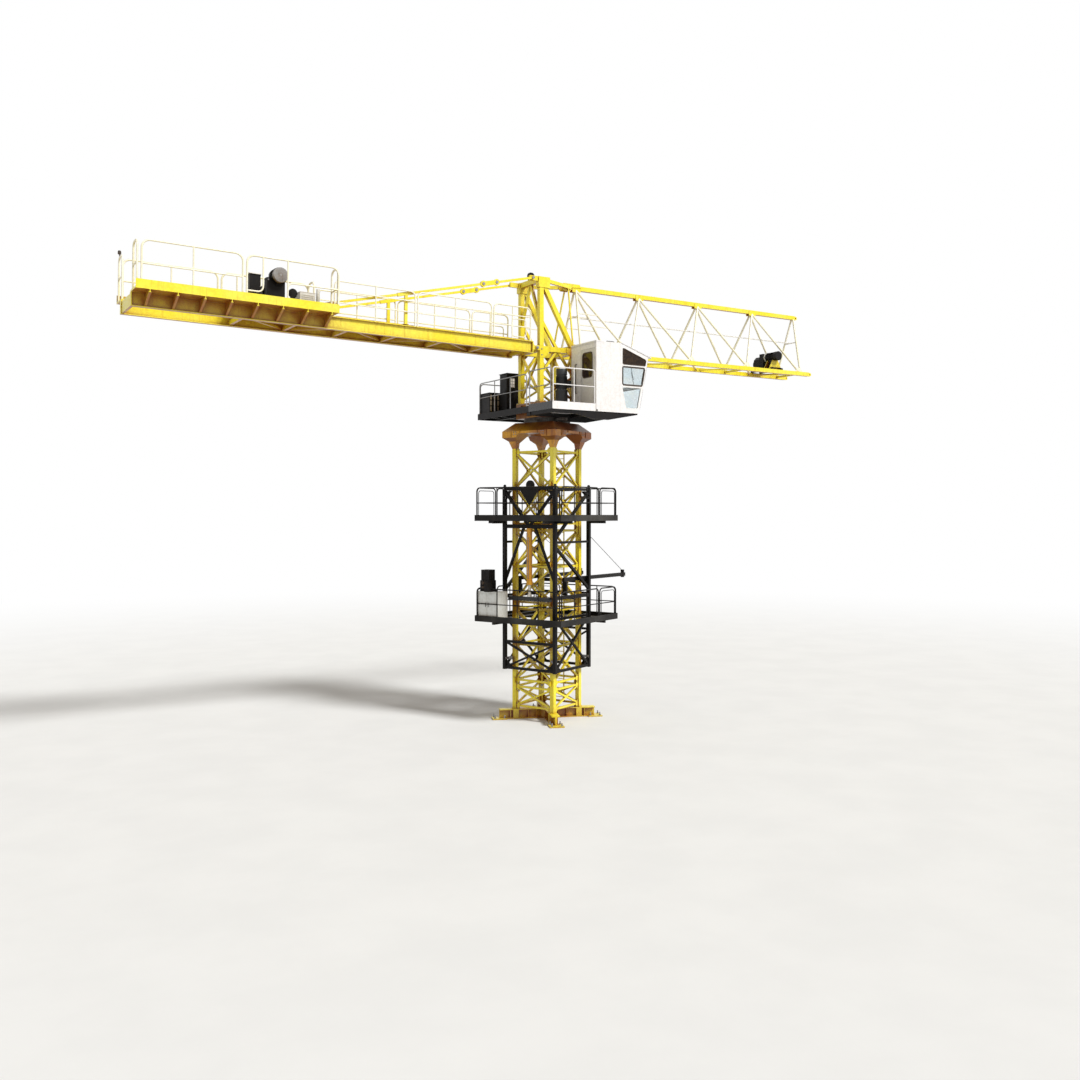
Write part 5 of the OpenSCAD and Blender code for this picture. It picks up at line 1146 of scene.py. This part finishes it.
class CRANE_OT_counter_fittings(bpy.types.Operator):
    """Flange strips on the knee brackets, pins of the pendants and deck seams"""
    bl_idname = "crane.counter_fittings"
    bl_label = "Counter-jib fittings"

    def execute(self, context):
        brackets = 8
        stations = WIDE_FROM + 0.208 + np.arange(brackets)*(WIDE_TO - WIDE_FROM - 0.55)/(brackets - 1)
        strip = prism([(0.668, -0.165), (0.67, -0.173), (1.25, 0.105), (1.25, 0.119)], 0.06)
        strips = [copies(strip, places(rows(stations - 0.03*s, 0, 0), (0, s, 0), UP)) for s in (-1, 1)]
        add_piece("knee_strips", copies(join(*strips), COUNTER), "yellow_paint")
        narrow, wide, top = 0.3 + 1.28*np.arange(1, 6), WIDE_FROM + 1.3*np.arange(1, 4), FLOOR_TOP + 0.004
        spans = ((narrow, -0.6, 0.6), (wide, -0.6, -1.235), (wide, 0.6, 1.235))
        seams = [boxes(rows(u, a, FLOOR_TOP), rows(u + 0.05, b, top)) for u, a, b in spans]
        add_piece("deck_seams", copies(join(*seams), COUNTER), "yellow_paint")
        self.pendant_pins()
        return {"FINISHED"}

    @staticmethod
    def pendant_pins():
        """Pins across the joint plates of the pendants, placed along the bars' own line."""
        pin = lathe(mirrored([(0.045, -0.05), (0.045, -0.036), (0.028, -0.035)]), 20)
        origins = []
        for s in (-1, 1):
            foot, head = np.array([-8.505, s*0.6, 12.208]), np.array([-0.94, s*0.6596, 13.905])
            along = unit(head - foot)
            middle = head - along*1.56
            origins += [middle - along*0.2356, middle + along*0.2356, foot + along*0.02, head]
        add_piece("pendant_pins", copies(pin, across(origins)), "roller_steel")


class CRANE_OT_hoist(bpy.types.Operator):
    """Grooved drum, motor with fins and fan cover, guide sheave, lids and bolts of the hoist winch"""
    bl_idname = "crane.hoist"
    bl_label = "Hoist winch"

    def execute(self, context):
        at = np.linspace(-0.262, 0.262, 168)
        grooves = lathe(rows(0.193 + 0.006*np.abs(np.sin(at*math.pi/0.0202)), at), 56)
        grooves = copies(copies(grooves, across([HOIST_U, 0, DRUM_H])), COUNTER)
        add_piece("drum_grooves", grooves, "machine_grey", body="hoist_drum")
        motor = across([HOIST_U - 0.06, -0.77, MOTOR_H])
        cooling = fins(36, [0.195, -0.0035, 0.10], [0.222, 0.0035, 0.41], start=math.pi/36)
        box = boxes([-0.08, 0.19, 0.14], [0.08, 0.25, 0.34])
        add_piece("hoist_motor_fins", copies(copies(join(cooling, box), motor), COUNTER), "black_paint")
        cover = lathe([(0.03, -0.012), (0.19, -0.012), (0.205, 0.0), (0.207, 0.09), (0.2, 0.092)], 44)
        spokes = fins(20, [0.05, -0.004, -0.017], [0.17, 0.004, -0.011])
        cover = copies(join(cover, spokes, lathe([(0.035, -0.02), (0.035, -0.011)], 20)), motor)
        add_piece("hoist_fan_cover", copies(cover, COUNTER), "machine_grey", finish="fan_grey")
        wheel = lathe(mirrored([(0.03, -0.03), (0.12, -0.03), (0.125, -0.024), (0.1, -0.006)]), 36)
        wheel = copies(wheel, across([HOIST_U - 0.5, -0.455, 0.72]))
        arms = boxes([[HOIST_U - 0.56, -0.50, 0.31], [HOIST_U - 0.56, -0.425, 0.31]],
                     [[HOIST_U - 0.44, -0.49, 0.76], [HOIST_U - 0.44, -0.415, 0.76]])
        add_piece("guide_sheave", copies(join(wheel, arms), COUNTER), "black_paint")
        lids = boxes([[HOIST_U + 0.385, -0.495, 1.10], [CABINET_U0 - 0.01, -0.51, 0.78]],
                     [[HOIST_U + 0.715, -0.165, 1.13], [CABINET_U1 + 0.01, 0.11, 0.795]])
        add_piece("hoist_lids", copies(lids, COUNTER), "white_paint", 0.003)
        heads = grid_of(HOIST_U + np.array([-0.2, 0.01, 0.22]), [-0.58], [0.38, 0.98])
        feet = grid_of(HOIST_U + np.array([-0.6, 0.5]), [-0.5, -0.25, 0.25, 0.5], [FLOOR_TOP + 0.1])
        heads = join(bolts(heads, (0, -1, 0), 0.016, 0.014), bolts(feet, UP, 0.018, 0.016))
        add_piece("hoist_bolts", copies(heads, COUNTER), "roller_steel")
        level = grid_of([CABINET_U0 + 0.05], [-0.512], FLOOR_TOP + 0.08 + 0.05*np.arange(9))
        ends = grid_of([CABINET_U0 - 0.012], -0.44 + 0.09*np.arange(6), [FLOOR_TOP + 0.08])
        louvres = join(boxes(level, level + (0.34, 0.012, 0.022)), boxes(ends, ends + (0.012, 0.03, 0.4)))
        add_piece("hoist_louvres", copies(louvres, COUNTER), "cabinet_paint", 0.002)
        return {"FINISHED"}


def window_outlines():
    """Outlines of the three side windows, as X and Z."""
    x, z = CAB_X0 + 1.0, CAB_Z
    return ([(x, z + 1.5), (x + 0.88, z + 1.5), (x + 0.91, z + 1.69), (x, z + 2.01)],
            [(x, z + 0.87), (x + 0.75, z + 0.87), (x + 0.86, z + 1.43), (x, z + 1.43)],
            [(x + 0.13, z + 0.15), (x + 0.58, z + 0.15), (x + 0.72, z + 0.8), (x - 0.02, z + 0.8)])


def front_x(z):
    """Place of the leaning windscreen at a height: a straight line from the floor to the roof's edge."""
    return CAB_X0 + 1.63 + 0.37*(z - CAB_Z)/1.8


class CRANE_OT_cab_trim(bpy.types.Operator):
    """Rubber frames of the windows, blinds, drip rail, wipers, grab rails, seams and the door's trim"""
    bl_idname = "crane.cab_trim"
    bl_label = "Cab trim"

    def execute(self, context):
        frames, thin = [], []
        for outline, radius, kept in zip(window_outlines(), (0.014, 0.027, 0.011), (frames, frames, thin)):
            for y in (CAB_Y1 + 0.008, CAB_Y0 - 0.008):
                kept.append(frame_loop([[x, y, z] for x, z in outline], radius, 0.055))
        add_piece("lower_window_frames", join(*thin), "cabinet_paint")
        left, right = CAB_Y1 + 0.03, CAB_Y0 - 0.03
        for low, high in ((0.9, 1.69), (0.13, 0.82)):
            z = CAB_Z + np.array([low, low, high, high])
            frames.append(frame_loop(rows(front_x(z) + 0.004, [left, right, right, left], z), 0.02, 0.06))
        add_piece("window_rubber", join(*frames), "black_paint", finish="rubber")
        blind = prism(window_outlines()[0], 0.006)
        blinds = copies(blind, upright([[0, CAB_Y1 + 0.020, 0], [0, CAB_Y0 - 0.014, 0]]))
        add_piece("window_blinds", blinds, "black_paint", finish="blind")
        low, high = np.array([10.63, 10.85]), np.array([11.12, 11.3])
        wipers = rods(rows(front_x(low) + [0.03, 0.035], [-1.7, -1.62], low),
                      rows(front_x(high) + [0.035, 0.028], [-1.42, -1.36], high), 0.009)
        add_piece("wipers", wipers, "black_paint")
        self.shell_trim()
        self.door_trim()
        return {"FINISHED"}

    @staticmethod
    def shell_trim():
        """White strips along the cab's edges, a drip rail over the door, grab rails and the roof's vent."""
        x, top, low, strips = CAB_X0, CAB_TOP, CAB_Z, []
        drip = rods([x - 0.012, CAB_Y1 + 0.02, top - 0.05], [x - 0.012, CAB_Y0 - 0.02, top - 0.05], 0.012)
        for y, s in ((CAB_Y1, -1), (CAB_Y0, 1)):
            strips.append(boxes([[x - 0.004, y, low], [x, y, low - 0.002], [x + 0.9, y, low]],
                                [[x + 0.05, y + s*0.006, top - 0.01], [x + 1.6, y + s*0.006, low + 0.06],
                                 [x + 0.91, y + s*0.004, top - 0.02]]))
            strips.append(boxes([x + 1.0, y, low + 1.445], [x + 1.86, y + s*0.008, low + 1.485]))
        add_piece("cab_strips", join(drip, *strips), "white_paint", 0.0015)
        grab = rectangle((x, -1.18, 10.35), (x - 0.055, -1.18, 11.25))
        y = CAB_Y1 + 0.25
        roof = [[0.9, y, top], [0.9, y, top + 0.06], [1.2, y, top + 0.06], [1.2, y, top]]
        rails = join(tube(rounded(grab, 0.04), 0.013), tube(rounded(roof, 0.03), 0.01))
        add_piece("grab_rails", rails, "black_paint")
        vent = lathe([(0.16, 0), (0.16, 0.02), (0.13, 0.06), (0.06, 0.085)])
        add_piece("roof_vent", copies(vent, places([0.75, CAB_MIDDLE, top])), "white_paint")

    @staticmethod
    def door_trim():
        """Rubber round the door's window, its pane, a raised panel below and its lock."""
        y0, y1, z0 = -2.149, -1.401, CAB_Z + 0.076
        face = CAB_X0 - 0.003
        window = rectangle((face, y0 + 0.11, z0 + 1.0), (face, y1 - 0.11, z0 + 1.758))
        rubber = frame_loop(window, 0.018, 0.11)
        add_piece("door_rubber", rubber, "black_paint", finish="rubber", body="cab_door")
        pane = boxes([CAB_X0 + 0.0125, y0 + 0.105, z0 + 0.995], [CAB_X0 + 0.0215, y1 - 0.105, z0 + 1.763])
        # The pane has the shade of the dark room behind it painted into its colour.
        add_piece("door_pane", pane, "glass", finish="glass_with_painted_shade", body="cab_door")
        press = rectangle((face + 0.002, y0 + 0.12, z0 + 0.14), (face + 0.002, y1 - 0.12, z0 + 0.82))
        lock = boxes([face - 0.014, y1 - 0.10, z0 + 0.83], [face + 0.003, y1 - 0.03, z0 + 1.02])
        panel = join(frame_loop(press, 0.006, 0.05), lock)
        add_piece("door_panel", panel, "door_paint", 0.0015, body="cab_door")


def cushion(centre, size, square=0.28, crown=0.16):
    """A crowned pad: a ball whose sines and cosines are raised to a small power, so that it is boxy,
    thinned towards its corners by a crown that falls with the square of the distance."""
    turn = np.linspace(-math.pi, math.pi, 64, endpoint=False)
    rise = np.linspace(-math.pi/2, math.pi/2, 34)[1:-1, None]
    boxy = lambda value: np.sign(value)*np.abs(value)**square
    x, y = boxy(np.cos(rise))*boxy(np.cos(turn)), boxy(np.cos(rise))*boxy(np.sin(turn))
    z = boxy(np.sin(rise))*(1 - crown*(x**2 + y**2))
    return loft(rows(x, y, z)*np.asarray(size)/2 + np.asarray(centre))


class CRANE_OT_cab_inside(bpy.types.Operator):
    """Operator's seat with padded cushions, and its two consoles with levers"""
    bl_idname = "crane.cab_inside"
    bl_label = "Cab inside"

    def execute(self, context):
        y, z = CAB_MIDDLE, CAB_Z + 0.045
        seat = cushion([1.115, y, z + 0.43], [0.47, 0.46, 0.095])
        back = cushion([0.86, y, z + 0.76], [0.09, 0.44, 0.6])
        pads = add_piece("seat_pads", join(seat, back), "seat_cover")
        column = lathe([(0.13, 0), (0.13, 0.02), (0.06, 0.05), (0.055, 0.30), (0.12, 0.34), (0.12, 0.37)])
        pan = boxes([0.89, y - 0.2, z + 0.365], [1.33, y + 0.2, z + 0.385])
        sides = np.array([y - 0.33, y + 0.33])
        stands = boxes(rows(1.02, sides - 0.05, z), rows(1.30, sides + 0.05, z + 0.5))
        tops = boxes(rows(0.96, sides - 0.08, z + 0.5), rows(1.40, sides + 0.08, z + 0.56))
        sticks = rods(rows(1.28, sides, z + 0.55), rows(1.29, sides, z + 0.61), 0.008)
        knobs = copies(lathe([(0.012, -0.02), (0.022, -0.008), (0.022, 0.006), (0.012, 0.012)], 18),
                       places(rows(1.29, sides, z + 0.605)))
        spots = grid_of([1.04, 1.09, 1.14], np.concatenate([sides - 0.035, sides + 0.035]), [z + 0.56])
        buttons = copies(lathe([(0.012, 0), (0.012, 0.008)], 12), places(spots))
        parts = join(copies(column, places([1.10, y, z])), pan, stands, tops, sticks, knobs, buttons)
        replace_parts(add_piece("seat_consoles", parts, "seat_cover", 0.002, finish="rubber"), "cab_seat")
        return {"FINISHED"}


class CRANE_PT_panel(bpy.types.Panel):
    """Lists the crane's settings and pieces"""
    bl_idname = "CRANE_PT_panel"
    bl_label = "Tower Crane"
    bl_space_type = "VIEW_3D"
    bl_region_type = "UI"
    bl_category = "Tower Crane"

    def draw(self, context):
        for name in CraneSettings.__annotations__:
            self.layout.prop(context.scene.tower_crane, name)
        for operator in OPERATORS:
            self.layout.operator(operator.bl_idname)


OPERATORS = (
    CRANE_OT_stage, CRANE_OT_finishes, CRANE_OT_base_fittings, CRANE_OT_mast_fittings,
    CRANE_OT_support_fittings, CRANE_OT_climbing_fittings, CRANE_OT_platform_rails, CRANE_OT_deck_rails,
    CRANE_OT_counter_rails, CRANE_OT_hydraulics, CRANE_OT_cabinets, CRANE_OT_slewing_motor,
    CRANE_OT_tower_fittings, CRANE_OT_jib, CRANE_OT_trolley_motor, CRANE_OT_counter_fittings,
    CRANE_OT_hoist, CRANE_OT_cab_trim, CRANE_OT_cab_inside)


def register():
    for made in (CraneSettings, *OPERATORS, CRANE_PT_panel):
        bpy.utils.register_class(made)
    bpy.types.Scene.tower_crane = bpy.props.PointerProperty(type=CraneSettings)


def unregister():
    del bpy.types.Scene.tower_crane
    for made in (CRANE_PT_panel, *reversed(OPERATORS), CraneSettings):
        bpy.utils.unregister_class(made)


def main():
    register()
    for operator in OPERATORS:
        family, name = operator.bl_idname.split(".")
        if getattr(getattr(bpy.ops, family), name)() != {"FINISHED"}:
            raise RuntimeError(operator.bl_label + " did not finish")


if __name__ == "__main__":
    main()
